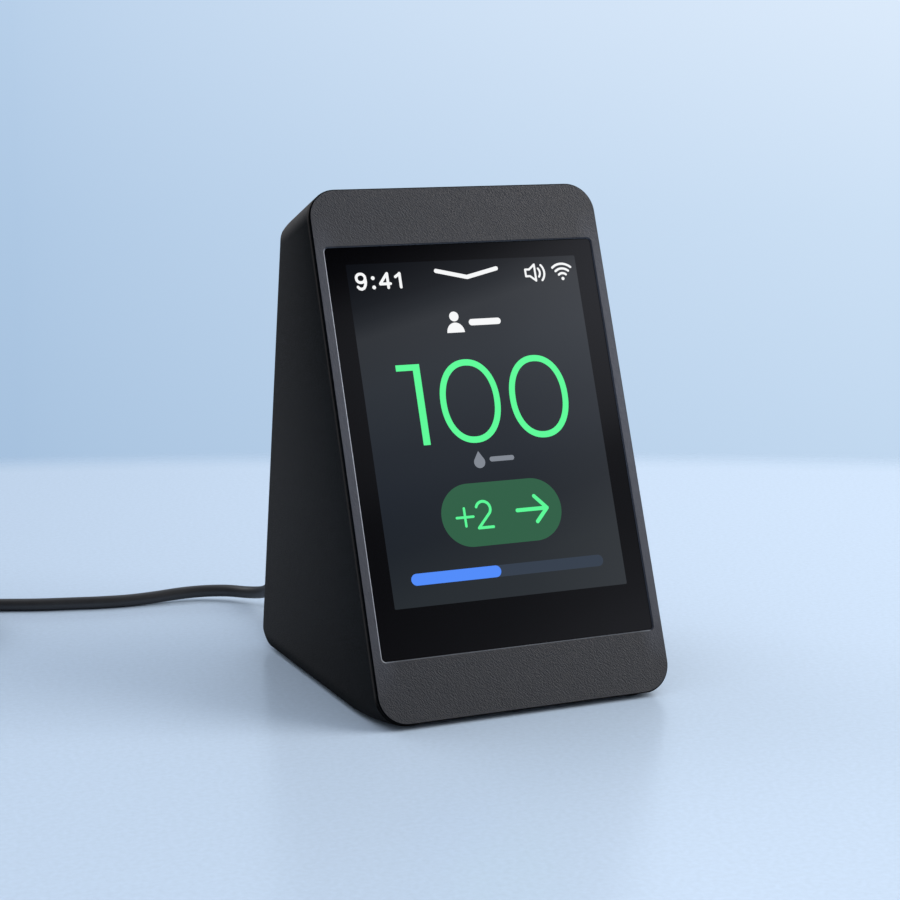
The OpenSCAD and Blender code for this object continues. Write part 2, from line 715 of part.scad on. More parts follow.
function bezier(a, b, c, d, n) = [for (i = [0 : n]) let (t = i / n, s = 1 - t)
    a * s * s * s + b * 3 * s * s * t + c * 3 * s * t * t + d * t * t * t];

// A strip of the given thickness along a plane curve
module ribbon(path, t) {
    n = len(path);
    side = [for (i = [0 : n - 1])
        let (d = unit(path[min(i + 1, n - 1)] - path[max(i - 1, 0)])) [-d[1], d[0]] * t / 2];
    polygon(concat([for (i = [0 : n - 1]) path[i] + side[i]],
                   [for (i = [n - 1 : -1 : 0]) path[i] - side[i]]));
}

/* Speaker */
module speaker_frame() {
    color([0.2, 0.2, 0.22]) on_rear(speaker_v, speaker_depth) rotate_extrude() polygon([
        [speaker_d / 2 - 2, 0], [speaker_d / 2, 0], [speaker_d / 2, speaker_flange],
        [speaker_d / 2 - 1.5, speaker_flange], [speaker_d / 2 - 4, 4.4], [4, 4.4], [4, 3.8],
        [speaker_d / 2 - 4.6, 3.8], [speaker_d / 2 - 2, 1]]);
    color([0.2, 0.2, 0.22]) on_rear(speaker_v - terminal_r, speaker_depth + speaker_flange)
        translate([speaker_cable_at - 2.5, -1.5, 0]) cube([5, 3, terminal_h - speaker_flange]);
}

module speaker_cone() {
    color([0.12, 0.12, 0.12]) on_rear(speaker_v, speaker_depth) rotate_extrude() polygon([
        [0, 0.9], [3.4, 1.6], [4.4, 2.8], [speaker_d / 2 - 3.4, 0.5], [speaker_d / 2 - 2.2, 0.5],
        [speaker_d / 2 - 2.2, 0.8], [speaker_d / 2 - 3.3, 0.8], [4.4, 3.2], [3.1, 1.9], [0, 1.2]]);
}

module speaker_magnet() {
    color([0.5, 0.5, 0.52]) on_rear(speaker_v, speaker_depth + 4.4)
        cylinder(h = magnet_depth - speaker_depth - 4.4, d = speaker_d * 0.62);
}

module speaker_gasket() {
    color([0.16, 0.16, 0.17]) on_rear(speaker_v, wall) linear_extrude(speaker_depth - wall) difference() {
        circle(d = speaker_d);
        circle(d = speaker_d - 3.4);
    }
}

module speaker_clamp() {
    color([0.62, 0.63, 0.65]) on_rear(speaker_v, magnet_depth) linear_extrude(clamp_t) difference() {
        union() {
            square([2 * clamp_x, 7], center = true);
            circle(d = speaker_d * 0.5);
            for (x = [-1, 1]) translate([x * clamp_x, 0]) circle(d = 7);
        }
        for (x = [-1, 1]) translate([x * clamp_x, 0]) circle(d = screw_hole_d);
        circle(d = speaker_d * 0.28);
    }
}

module clamp_screws() {
    color([0.7, 0.7, 0.72]) for (x = [-1, 1]) on_rear(speaker_v, magnet_depth + clamp_t)
        translate([x * clamp_x, 0, 0]) pan_screw(6);
}

/* Buttons */
module button_outline(k, grow = 0) {
    w = (k == 0 ? button_h + 1.6 : button_w) + 2 * grow;
    h = (k == 0 ? button_h + 1.6 : button_h) + 2 * grow;
    rounded_rect(w, h, h / 2 - 0.01);
}

module push_button(k) {
    on_rear(button_v) translate([button_x[k], 0, 0]) {
        translate([0, 0, -button_proud]) linear_extrude(button_proud + flange_d + eps) button_outline(k);
        translate([0, 0, flange_d]) linear_extrude(flange_t) button_outline(k, 1.1);
        translate([0, 0, stem_d - eps]) cylinder(h = stem_l + eps, d = stem_diameter);
    }
}

module plunger(k) {
    on_rear(button_v, plunger_d) translate([button_x[k], 0, 0])
        cylinder(h = plunger_out + plunger_in, d = plunger_diameter);
}

module power_button() { color([0.10, 0.10, 0.11]) push_button(0); }
module volume_down_button() { color([0.10, 0.10, 0.11]) push_button(1); }
module volume_up_button() { color([0.10, 0.10, 0.11]) push_button(2); }
module power_plunger() { color([0.85, 0.85, 0.85]) plunger(0); }
module volume_down_plunger() { color([0.85, 0.85, 0.85]) plunger(1); }
module volume_up_plunger() { color([0.85, 0.85, 0.85]) plunger(2); }

module switch_cases() {
    color([0.15, 0.15, 0.15]) on_rear(button_v, case_d) for (x = button_x) translate([x, 0, 0])
        difference() {
            linear_extrude(case_t) square(switch_size, center = true);
            translate([0, 0, -1]) cylinder(h = 1 + case_bore, d = plunger_diameter + 2 * button_gap);
        }
}

module button_board() {
    color([0.07, 0.30, 0.18]) on_rear(button_v, button_board_d) linear_extrude(button_board_t)
        difference() {
            rounded_rect(2 * button_post_x + 6.4, 9, 2);
            for (x = [-1, 1]) translate([x * button_post_x, 0]) circle(d = screw_hole_d);
        }
}

module button_board_screws() {
    color([0.7, 0.7, 0.72]) for (x = [-1, 1]) on_rear(button_v, button_board_d + button_board_t)
        translate([x * button_post_x, 0, 0]) pan_screw(5);
}

/* Lead: device plug, cord, coil and far plug */
grip_y = socket_y + 0.3;                // front face of the grip
grip_l = 10.5;
relief_d = 5.6;
relief_rings = 5;
relief_groove = [0.7, 0.35];            // width and depth
exit_point = [inlet_x, front_y + grip_y + grip_l + relief_l, foot_h + inlet_z];
// Points of the lead from the strain relief to the coil, counted from the exit
lead_route = [[0, 0, 0], [0, 2.5, 0], [0, 5.5, 0], [0.1, 9.2, -1], [0.3, 13.8, -3.1],
              [-0.5, 18.6, -5.2], [-2.8, 24.5, -6.4], [-7.4, 29.9, -6.7], [-13.6, 33.2, -7],
              [-20.1, 34.4, -7.3], [-26.8, 34.7, -7.7], [-33.8, 34.9, -7.9], [-41.4, 35.9, -7.9],
              [-49.1, 37.9, -7.9], [-59.3, 40.9, -7.9], [-69, 44.9, -7.9], [-78, 48.3, -7.8],
              [-87, 51.1, -7.6], [-95.8, 53.2, -7.3]];
coil_centre = [-102, 31.6];
// Points of the short tail from the coil to the far plug
tail_route = [[-124.2, 31.6, 2.9], [-124.3, 23.9, 2.7], [-124.3, 14.9, 0.2], [-124, 6.9, -3.3],
              [-123.6, 0.9, -5.3], [-123.5, -4.1, -5.7], [-123.5, -8.1, -5.7], [-123.5, -12.1, -5.7]];
coil_lift = 0.6;                        // thickness of the tie under the coil

function smooth(p, i, t) =
    let (a = p[max(i - 1, 0)], b = p[i], c = p[i + 1], d = p[min(i + 2, len(p) - 1)])
    0.5 * (2 * b + (c - a) * t + (2 * a - 5 * b + 4 * c - d) * t * t + (3 * b - a - 3 * c + d) * t * t * t);
function smooth_path(p, steps) = concat([for (i = [0 : len(p) - 2], k = [0 : steps - 1])
    smooth(p, i, k / steps)], [p[len(p) - 1]]);

// A tube swept along a path that stays well away from the direction ref
module tube(path, d, sides = 8, ref = [0, 0, 1]) {
    n = len(path);
    rings = [for (i = [0 : n - 1])
        let (dir = unit(path[min(i + 1, n - 1)] - path[max(i - 1, 0)]),
             across = unit(cross(ref, dir)), up = cross(dir, across))
        for (k = [0 : sides - 1])
            let (a = 360 * (k + 0.5) / sides)
            path[i] + (across * cos(a) + up * sin(a)) * d / 2];
    polyhedron(rings, concat(
        [[for (k = [0 : sides - 1]) k]],
        [for (i = [0 : n - 2], k = [0 : sides - 1]) let (m = (k + 1) % sides)
            [i * sides + k, (i + 1) * sides + k, (i + 1) * sides + m]],
        [for (i = [0 : n - 2], k = [0 : sides - 1]) let (m = (k + 1) % sides)
            [i * sides + k, (i + 1) * sides + m, i * sides + m]],
        [[for (k = [sides - 1 : -1 : 0]) (n - 1) * sides + k]]));
}

module plug_shell() {
    color([0.78, 0.78, 0.8]) on_base(grip_y, inlet_z) translate([inlet_x, 0, 0]) rotate([90, 0, 0])
        difference() {
            linear_extrude(6.2) rounded_rect(8.2, 2.46, 1.22);
            translate([0, 0, 0.6]) linear_extrude(6.2) rounded_rect(7.4, 1.7, 0.84);
        }
}

module plug_grip() {
    color([0.13, 0.13, 0.14]) on_base(grip_y, inlet_z) translate([inlet_x, 0, 0]) rotate([-90, 0, 0]) {
        linear_extrude(grip_l) rounded_rect(grip_w, grip_h, grip_h / 2 - 0.4);
        translate([0, 0, grip_l]) strain_relief(relief_d, lead_d + 1, relief_l, relief_rings);
    }
}

// A tapered relief from diameter d0 to d1 with grooves around it
module strain_relief(d0, d1, l, rings) {
    pitch = l / (rings + 0.4);
    function radius(z) = (d0 + (d1 - d0) * z / l) / 2;
    rotate_extrude() polygon(concat([[0, 0], [d0 / 2, 0]],
        [for (i = [0 : rings - 1], k = [0 : 3])
            let (z = (i + 0.6) * pitch + (k > 1 ? relief_groove[0] : 0))
            [radius(z) - (k == 1 || k == 2 ? relief_groove[1] : 0), z]],
        [[d1 / 2, l], [0, l]]));
}

module lead() {
    color([0.16, 0.16, 0.17]) translate(exit_point) tube(smooth_path(lead_route, 2), lead_d);
}

// The frame of the coil: its axis, at the level that the turns rest on
module at_coil(z = 0) {
    translate([exit_point[0] + coil_centre[0], exit_point[1] + coil_centre[1], z]) children();
}

coil_w = coil_columns * (lead_d + 0.1);
coil_h = coil_rows * lead_d;

module lead_coil() {
    color([0.16, 0.16, 0.17]) at_coil(coil_lift) rotate_extrude()
        translate([coil_r, coil_h / 2]) rounded_rect(coil_w, coil_h, lead_d / 2);
}

module coil_tie() {
    color([0.1, 0.1, 0.1]) at_coil() rotate([0, 0, -60]) translate([coil_r, 3, coil_h / 2 + coil_lift])
        rotate([90, 0, 0]) linear_extrude(6) difference() {
            rounded_rect(coil_w + 2 * coil_lift, coil_h + 2 * coil_lift, 2.2);
            rounded_rect(coil_w, coil_h, 1.6);
        }
}

module lead_tail() {
    color([0.16, 0.16, 0.17]) translate(exit_point) tube(smooth_path(tail_route, 2), lead_d);
}

far_end = exit_point + tail_route[len(tail_route) - 1];
usb_grip_l = 20;
usb_relief_l = 8;

usb_shell = [12, 4.5, 12.5];            // width, height and length
usb_sheet = 0.4;                        // thickness of the shell's sheet
usb_floor = 1;
usb_window = 2.4;

module usb_plug_grip() {
    color([0.13, 0.13, 0.14]) translate(far_end) rotate([90, 0, 0]) {
        translate([0, 0, usb_relief_l]) mirror([0, 0, 1])
            strain_relief(relief_d + 0.4, lead_d + 1, usb_relief_l, relief_rings - 1);
        translate([0, 0, usb_relief_l]) linear_extrude(usb_grip_l) rounded_rect(15.6, 7.8, 2);
    }
}

// The frame of the far plug's shell: z along it from the grip
module at_usb_shell(z = 0) {
    translate(far_end - [0, usb_relief_l + usb_grip_l + z, 0]) rotate([90, 0, 0]) children();
}

module usb_plug_shell() {
    color([0.78, 0.78, 0.8]) at_usb_shell() difference() {
        linear_extrude(usb_shell[2]) square([usb_shell[0], usb_shell[1]], center = true);
        translate([0, 0, usb_floor]) linear_extrude(usb_shell[2])
            square([usb_shell[0] - 2 * usb_sheet, usb_shell[1] - 2 * usb_sheet], center = true);
        for (x = [-1, 1], y = [-1, 1]) translate([x * 2.9, y * usb_shell[1] / 2, 6.2])
            cube([usb_window, 3 * usb_sheet, usb_window], center = true);
    }
}

module usb_plug_insert() {
    width = usb_shell[0] - 2 * usb_sheet - 0.1;
    height = usb_shell[1] / 2 - usb_sheet - 0.05;
    color([0.85, 0.85, 0.85]) at_usb_shell(usb_floor) translate([-width / 2, -height - 0.05, 0])
        cube([width, height, usb_shell[2] - usb_floor - 0.9]);
}

front_bezel();
cover_glass();
glass_tape();
display_cell();
backlight_tray();
display_bracket();
bracket_screws();
display_flex();
rear_housing();
bottom_cover();
cover_screws();
rubber_feet();
main_board();
board_screws();
processor_shield();
wifi_module();
board_parts();
usb_socket();
antenna_patch();
speaker_frame();
speaker_cone();
speaker_magnet();
speaker_gasket();
speaker_clamp();
clamp_screws();
button_board();
button_board_screws();
switch_cases();
power_button();
volume_down_button();
volume_up_button();
power_plunger();
volume_down_plunger();
volume_up_plunger();
plug_shell();
plug_grip();
lead();
lead_coil();
coil_tie();
lead_tail();
usb_plug_grip();
usb_plug_shell();
usb_plug_insert();
button_flex();
speaker_cable();
antenna_cable();
rating_label();
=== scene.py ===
"""Looks of the table-top glucose display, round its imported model: the screen's picture, the finish of
every piece, the lead, and the studio with its lights and camera. Metres, +Z up, the screen faces -Y."""
import math

import bmesh
import bpy
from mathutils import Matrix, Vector, geometry


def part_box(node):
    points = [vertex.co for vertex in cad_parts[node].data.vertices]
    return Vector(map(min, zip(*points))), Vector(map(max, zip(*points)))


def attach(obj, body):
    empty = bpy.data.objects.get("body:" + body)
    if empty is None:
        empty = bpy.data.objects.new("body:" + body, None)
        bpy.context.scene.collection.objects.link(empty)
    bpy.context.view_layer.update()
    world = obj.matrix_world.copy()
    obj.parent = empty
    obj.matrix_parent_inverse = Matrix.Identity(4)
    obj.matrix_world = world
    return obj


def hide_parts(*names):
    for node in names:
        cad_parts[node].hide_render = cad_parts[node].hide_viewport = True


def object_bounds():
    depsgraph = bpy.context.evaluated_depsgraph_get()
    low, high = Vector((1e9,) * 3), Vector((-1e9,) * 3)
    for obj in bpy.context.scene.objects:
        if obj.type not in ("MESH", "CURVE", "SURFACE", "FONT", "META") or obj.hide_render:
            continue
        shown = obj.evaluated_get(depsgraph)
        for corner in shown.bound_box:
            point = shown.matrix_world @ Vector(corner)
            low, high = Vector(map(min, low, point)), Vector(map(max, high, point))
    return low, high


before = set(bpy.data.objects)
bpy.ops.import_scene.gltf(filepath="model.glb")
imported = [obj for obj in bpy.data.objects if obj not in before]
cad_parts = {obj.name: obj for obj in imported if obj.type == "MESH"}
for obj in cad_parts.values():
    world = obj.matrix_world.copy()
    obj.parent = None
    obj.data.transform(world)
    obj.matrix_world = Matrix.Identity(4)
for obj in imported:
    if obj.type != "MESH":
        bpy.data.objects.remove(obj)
cad_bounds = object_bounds()

MM = 0.001
FACE_TILT = math.radians(21)
FACE_UP = Vector((0, math.sin(FACE_TILT), math.cos(FACE_TILT)))
FACE_OUT = Vector((0, -math.cos(FACE_TILT), math.sin(FACE_TILT)))


# ---------------------------------------------------------------- camera
CAMERA_PLACE = Vector((-210.19, -466.73, 150.53)) * MM
CAMERA_PITCH = math.radians(10.4543)     # below level
CAMERA_YAW = math.radians(24.013)        # from +Y towards +X
CAMERA_LENS = 83.95                      # and its sensor's width, in millimetres
CAMERA_SENSOR = 36
CAMERA_NEAR = 10 * MM
HEADING = Vector((math.sin(CAMERA_YAW), math.cos(CAMERA_YAW), 0))
ACROSS = Vector((math.cos(CAMERA_YAW), -math.sin(CAMERA_YAW), 0))


def make_camera():
    data = bpy.data.cameras.new("camera")
    data.lens = CAMERA_LENS
    data.sensor_width = CAMERA_SENSOR
    data.clip_start = CAMERA_NEAR
    camera = bpy.data.objects.new("camera", data)
    camera.location = CAMERA_PLACE
    camera.rotation_euler = (math.pi / 2 - CAMERA_PITCH, 0, -CAMERA_YAW)
    bpy.context.scene.collection.objects.link(camera)
    bpy.context.scene.camera = camera


# ---------------------------------------------------------------- material nodes
PATCH_STOPS = (0.3, 0.7)                 # where in the noise a mottled colour is darkest and lightest
PATCH_DETAIL = 4
EDGE_SAMPLES = 6
SPECULAR = 0.5                           # the shader's own level


def fill(tree, node, inputs):
    """Links or sets the node's inputs, by name or number."""
    for name, value in inputs.items():
        if isinstance(value, bpy.types.NodeSocket):
            tree.links.new(value, node.inputs[name])
        else:
            node.inputs[name].default_value = value


def add_node(tree, kind, inputs=None, **settings):
    node = tree.nodes.new("ShaderNode" + kind)
    for name, value in settings.items():
        setattr(node, name, value)
    fill(tree, node, inputs or {})
    return node


def calc(tree, operation, *values, **settings):
    """The result of a Math node on one to three values."""
    return add_node(tree, "Math", dict(enumerate(values)), operation=operation, **settings).outputs[0]


def product(tree, first, *others):
    for other in others:
        first = calc(tree, "MULTIPLY", first, other)
    return first


def spread(tree, value, low, high, start=0, end=1, ease="LINEAR"):
    """The value's way from low to high as a way from start to end, held at both."""
    inputs = {"Value": value, "From Min": low, "From Max": high, "To Min": start, "To Max": end}
    return add_node(tree, "MapRange", inputs, interpolation_type=ease).outputs[0]


def dot(tree, vector, axis):
    return add_node(tree, "VectorMath", {0: vector, 1: axis}, operation="DOT_PRODUCT").outputs["Value"]


def axes_of(tree, vector):
    """The vector's sockets X, Y and Z."""
    return add_node(tree, "SeparateXYZ", {"Vector": vector}).outputs


def blended(tree, share, first, second, how="MIX"):
    inputs = {"Fac": share, "Color1": first, "Color2": second}
    return add_node(tree, "MixRGB", inputs, blend_type=how).outputs[0]


def mix_shaders(tree, share, first, second):
    return add_node(tree, "MixShader", {0: share, 1: first, 2: second}).outputs[0]


def surface_normal(tree):
    return add_node(tree, "TexCoord").outputs["Normal"]


def mapped(tree, place, stretch=(1, 1, 1), turn=(0, 0, 0)):
    return add_node(tree, "Mapping", {"Vector": place, "Scale": stretch, "Rotation": turn}).outputs[0]


def object_place(tree, stretch=(1, 1, 1), turn=(0, 0, 0)):
    """The point on the piece, in metres, turned and stretched."""
    return mapped(tree, add_node(tree, "TexCoord").outputs["Object"], stretch, turn)


def noise(tree, place, scale, detail, warp=0):
    """Noise from 0 to 1 with a number of grains to the metre."""
    inputs = {"Vector": place, "Scale": scale, "Detail": detail, "Distortion": warp}
    return add_node(tree, "TexNoise", inputs).outputs[0]


def add_ramp(tree, value, stops):
    """Colours, in linear values, between stops along a value from 0 to 1."""
    node = add_node(tree, "ValToRGB", {"Fac": value})
    elements = node.color_ramp.elements
    while len(elements) < len(stops):
        elements.new(0.5)
    for element, (place, colour) in zip(elements, stops):
        element.position = place
        element.color = (*colour[:3], 1)
    return node.outputs[0]


def grey(stops):
    return [(place, (level,) * 3) for place, level in stops]


def mottled(tree, colour, place, size, share):
    """The colour, lighter and darker by a share, in patches of a size."""
    shades = [[channel * scale for channel in colour[:3]] for scale in (1 - share, 1 + share)]
    return add_ramp(tree, noise(tree, place, 1 / size, PATCH_DETAIL), list(zip(PATCH_STOPS, shades)))


def srgb(red, green, blue):
    """A colour as written in 0 to 255, as Blender's linear values."""
    def linear(value):
        share = value / 255
        return share / 12.92 if share <= 0.04045 else ((share + 0.055) / 1.055) ** 2.4
    return (linear(red), linear(green), linear(blue), 1)


def new_material(name, colour, roughness, **sockets):
    """A Principled material; sockets are further inputs, with _ for a space."""
    material = bpy.data.materials.new(name)
    material.use_nodes = True
    tree = material.node_tree
    shader = tree.nodes["Principled BSDF"]
    fill(tree, shader, {"Base Color": colour, "Roughness": roughness})
    fill(tree, shader, {key.replace("_", " "): value for key, value in sockets.items()})
    return material, tree, shader


def relief(tree, shader, height, depth, edge=0):
    """Bumps of a depth, over edges that look rounded by a radius."""
    inputs = {"Height": height, "Strength": 1, "Distance": depth}
    if edge:
        inputs["Normal"] = add_node(tree, "Bevel", {"Radius": edge}, samples=EDGE_SAMPLES).outputs[0]
    fill(tree, shader, {"Normal": add_node(tree, "Bump", inputs).outputs[0]})


# ---------------------------------------------------------------- front plate and wedge
HOUSING = srgb(33, 31.5, 31)
HOUSING_ROUGHNESS = 0.6
HOUSING_SPECULAR = 0.05
BEZEL = srgb(41.5, 44.8, 54)
BEZEL_ROUGHNESS = 0.45
BEZEL_SPECULAR = 0.4
PATCHES = (2 * MM, 0.06)                 # size of the patches in both colours, and how much they differ

# A grain of short strokes, and a finer one askew on it, whose pitch and height are shares of the first's
GRAIN_SLANT = math.radians(42)
GRAIN_DETAIL = 1
GRAIN_WARP = 0.8
FINE_TURN = (0.5, 0.7, 0.3)              # radians
FINE_PITCH = 1 / 1.7
FINE_HEIGHT = 0.7
FINE_WARP = 0.5
# Pitch and length of the strokes, their depth, and the radius that edges look rounded by
PLATE_GRAIN = (0.31 * MM, 0.8 * MM)
PLATE_RELIEF = (0.1 * MM, 0.2 * MM)
WALL_GRAIN = (0.32 * MM, 0.7 * MM)
WALL_RELIEF = (0.12 * MM, 0.25 * MM)

# The front plate's rails, left and right of the screen, are lighter: painted light, stronger on the
# right, where the key light comes from
RAIL = (31 * MM, 35.5 * MM)              # they start and are full this far off the middle
RAIL_PAINTED_LIGHT = (2.4, 2.95)                  # the left and the right one's painted light
RAIL_RISE = [(0.06, 0), (0.155, 0.75), (0.54, 1), (0.85, 0.64), (0.95, 0)]   # its share, by height
PLATE_PAINTED_RISE = (0.65, 1.02)                # the plate's painted shade at the floor and painted light at the top
# The plate's sides are dull and painted dark, a painted shade like the shadow in the groove at the seam:
# it is so where it faces forwards by less than the first share, and fully itself over the second
PLATE_FACING = (0.75, 0.9)
SIDE_PAINTED_SHADE = 0.05
# The bevel round the screen is what lies a depth or more behind the plate's face, within a width off the
# middle and within a height off a level. It is smoother, and has a painted highlight where it faces its
# light.
BEVEL_DEPTH = 0.03 * MM
BEVEL_WIDTH = 36.2 * MM
BEVEL_LEVEL = 60 * MM
BEVEL_HEIGHT = 52 * MM
BEVEL_FACING = (0.2, 0.7)                # the same painted shade darkens it as on the plate's sides, but from and to this share
BEVEL_LIGHT = Vector((0.74, -0.39, 0.55))
BEVEL_LIT = (0.45, 0.8)                  # from and to this share of its light's direction
BEVEL_PAINTED_HIGHLIGHT = (9.4, 8.8, 7.2, 1)
BEVEL_ROUGHNESS = 0.25

WEDGE_DEPTH = 84 * MM                    # the wedge from front to back at the floor
WEDGE_NARROWS = 0.555                    # and how much of it is lost for each unit of height
WALL_PAINTED_SHADES = (0.29, 2.2)                # the wall's painted shade at the seam and painted light at the rear
WALL_PAINTED_RISE = (0.98, 2.0)                  # and its painted shade at the floor, and its growth for each metre up
WALL_PAINTED_FOOT = (1.4 * MM, 4.5 * MM)         # painted shade: it is black under the first height and itself over the second
# The roof's round edges have a painted highlight, by the product of how far they face sideways and
# upwards
EDGE_FACING = (0.05, 0.4)                # from and to this product
EDGE_PAINTED_HIGHLIGHT = 7                           # up to this shade
LIT_EDGE = 0.2                           # the right edge, which the key light meets, counts this much


def slanted_grain(tree, pitch, length):
    """The height of a moulded grain of short strokes that run down to the right over the front face."""
    flat = object_place(tree, turn=(FACE_TILT, 0, 0))
    aslant = mapped(tree, flat, turn=(0, GRAIN_SLANT, 0))
    drawn = mapped(tree, aslant, stretch=(1, 1, pitch / length))
    coarse = noise(tree, drawn, 1 / pitch, GRAIN_DETAIL, GRAIN_WARP)
    askew = mapped(tree, flat, turn=FINE_TURN)
    fine = noise(tree, askew, 1 / (FINE_PITCH * pitch), GRAIN_DETAIL, FINE_WARP)
    return calc(tree, "MULTIPLY_ADD", fine, FINE_HEIGHT, coarse)


def plate_front():
    """How far forwards the front plate's face lies."""
    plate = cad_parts["front_bezel"]
    return max(FACE_OUT.dot(plate.matrix_world @ corner.co) for corner in plate.data.vertices)


def front_plastic():
    """The front plate: lighter rails in painted light, darker towards the floor, dark and dull sides in
    painted shade, and a painted highlight on the bevel round the screen.
    """
    material, tree, shader = new_material("bezel_plastic", BEZEL, BEZEL_ROUGHNESS,
                                          Specular_IOR_Level=BEZEL_SPECULAR)
    place = object_place(tree)
    axes = axes_of(tree, place)
    across = calc(tree, "ABSOLUTE", axes["X"])
    height = calc(tree, "DIVIDE", axes["Z"], cad_bounds[1][2])
    # Painted light on the rails, stronger on the right and fading towards the top and bottom
    most = spread(tree, axes["X"], -RAIL[1], RAIL[1], RAIL_PAINTED_LIGHT[0] - 1, RAIL_PAINTED_LIGHT[1] - 1)
    rail = spread(tree, across, *RAIL, 0, most, "SMOOTHSTEP")
    rail = calc(tree, "MULTIPLY_ADD", rail, add_ramp(tree, height, grey(RAIL_RISE)), 1)
    # Painted shade and light: the plate is darker at the floor and lighter towards the top
    rise = spread(tree, height, 0, 1, *PLATE_PAINTED_RISE)

    deep = calc(tree, "LESS_THAN", dot(tree, place, FACE_OUT), plate_front() - BEVEL_DEPTH)
    inside = calc(tree, "LESS_THAN", across, BEVEL_WIDTH)
    level = calc(tree, "COMPARE", axes["Z"], BEVEL_LEVEL, BEVEL_HEIGHT)
    bevel = product(tree, deep, inside, level)
    normal = surface_normal(tree)
    # Painted shade where the plate and the bevel round the screen turn away from the front
    turned = dot(tree, normal, FACE_OUT)
    outer = spread(tree, turned, *PLATE_FACING, SIDE_PAINTED_SHADE)
    inner = spread(tree, turned, *BEVEL_FACING, SIDE_PAINTED_SHADE)
    forward = spread(tree, bevel, 0, 1, outer, inner)
    # Painted highlight on the bevel where it faces the key light
    lighter = product(tree, spread(tree, dot(tree, normal, BEVEL_LIGHT), *BEVEL_LIT), bevel)

    gain = product(tree, rail, rise, forward)
    tone = blended(tree, 1, mottled(tree, BEZEL, place, *PATCHES), gain, "MULTIPLY")
    tone = blended(tree, lighter, tone, BEVEL_PAINTED_HIGHLIGHT, "MULTIPLY")
    fill(tree, shader, {"Base Color": tone,
                        "Roughness": spread(tree, bevel, 0, 1, BEZEL_ROUGHNESS, BEVEL_ROUGHNESS),
                        "Specular IOR Level": product(tree, forward, BEZEL_SPECULAR)})
    relief(tree, shader, slanted_grain(tree, *PLATE_GRAIN), *PLATE_RELIEF)
    return material


def wall_plastic():
    """The wedge: near-black plastic with painted light and shade, lighter from the seam behind the front
    plate to the rear and upwards, black at the foot, with a painted highlight on the round edges of the
    roof."""
    material, tree, shader = new_material("housing_plastic", HOUSING, HOUSING_ROUGHNESS,
                                          Specular_IOR_Level=HOUSING_SPECULAR)
    place = object_place(tree)
    axes = axes_of(tree, place)
    # Painted shade and light: the wall is darker at the seam and lighter towards the rear
    behind = calc(tree, "MULTIPLY_ADD", axes["Z"], -math.tan(FACE_TILT), axes["Y"])
    behind = calc(tree, "SUBTRACT", behind, cad_bounds[0][1])
    depth = calc(tree, "MULTIPLY_ADD", axes["Z"], -WEDGE_NARROWS, WEDGE_DEPTH)
    share = calc(tree, "DIVIDE", behind, depth, use_clamp=True)
    # Painted shade that lifts with height: darker near the floor, lighter towards the roof
    rise = calc(tree, "MULTIPLY_ADD", axes["Z"], WALL_PAINTED_RISE[1], WALL_PAINTED_RISE[0])
    wall = product(tree, spread(tree, share, 0, 1, *WALL_PAINTED_SHADES), rise)
    # Painted shade at the foot: black near the floor, where the underside is in shadow
    foot = spread(tree, axes["Z"], *WALL_PAINTED_FOOT, ease="SMOOTHSTEP")
    # Painted highlight on the roof's round edges, weaker on the right edge
    facing = axes_of(tree, surface_normal(tree))
    sides = [product(tree, facing["X"], weight) for weight in (-1, LIT_EDGE)]
    sideways = calc(tree, "MAXIMUM", *sides)
    edge = spread(tree, product(tree, sideways, facing["Z"]), *EDGE_FACING)
    gain = product(tree, spread(tree, edge, 0, 1, wall, EDGE_PAINTED_HIGHLIGHT), foot)
    tone = blended(tree, 1, mottled(tree, HOUSING, place, *PATCHES), gain, "MULTIPLY")
    fill(tree, shader, {"Base Color": tone})
    relief(tree, shader, slanted_grain(tree, *WALL_GRAIN), *WALL_RELIEF)
    return material


# ---------------------------------------------------------------- finishes of the CAD nodes
MOULDED_PATCHES = (6, 0.08)              # size of the patches in grain pitches, and how much they differ
MOULDED_DETAIL = 3
METAL_PITCH = 0.4 * MM
METAL_DETAIL = 3
METAL_RELIEF = (0.004 * MM, 0.08 * MM)   # depth of a metal's grain, and its edges' radius
WAVES = 60                               # to the metre, on a glossy surface
WAVE_DETAIL = 1
WAVE_DEPTH = 0.002 * MM

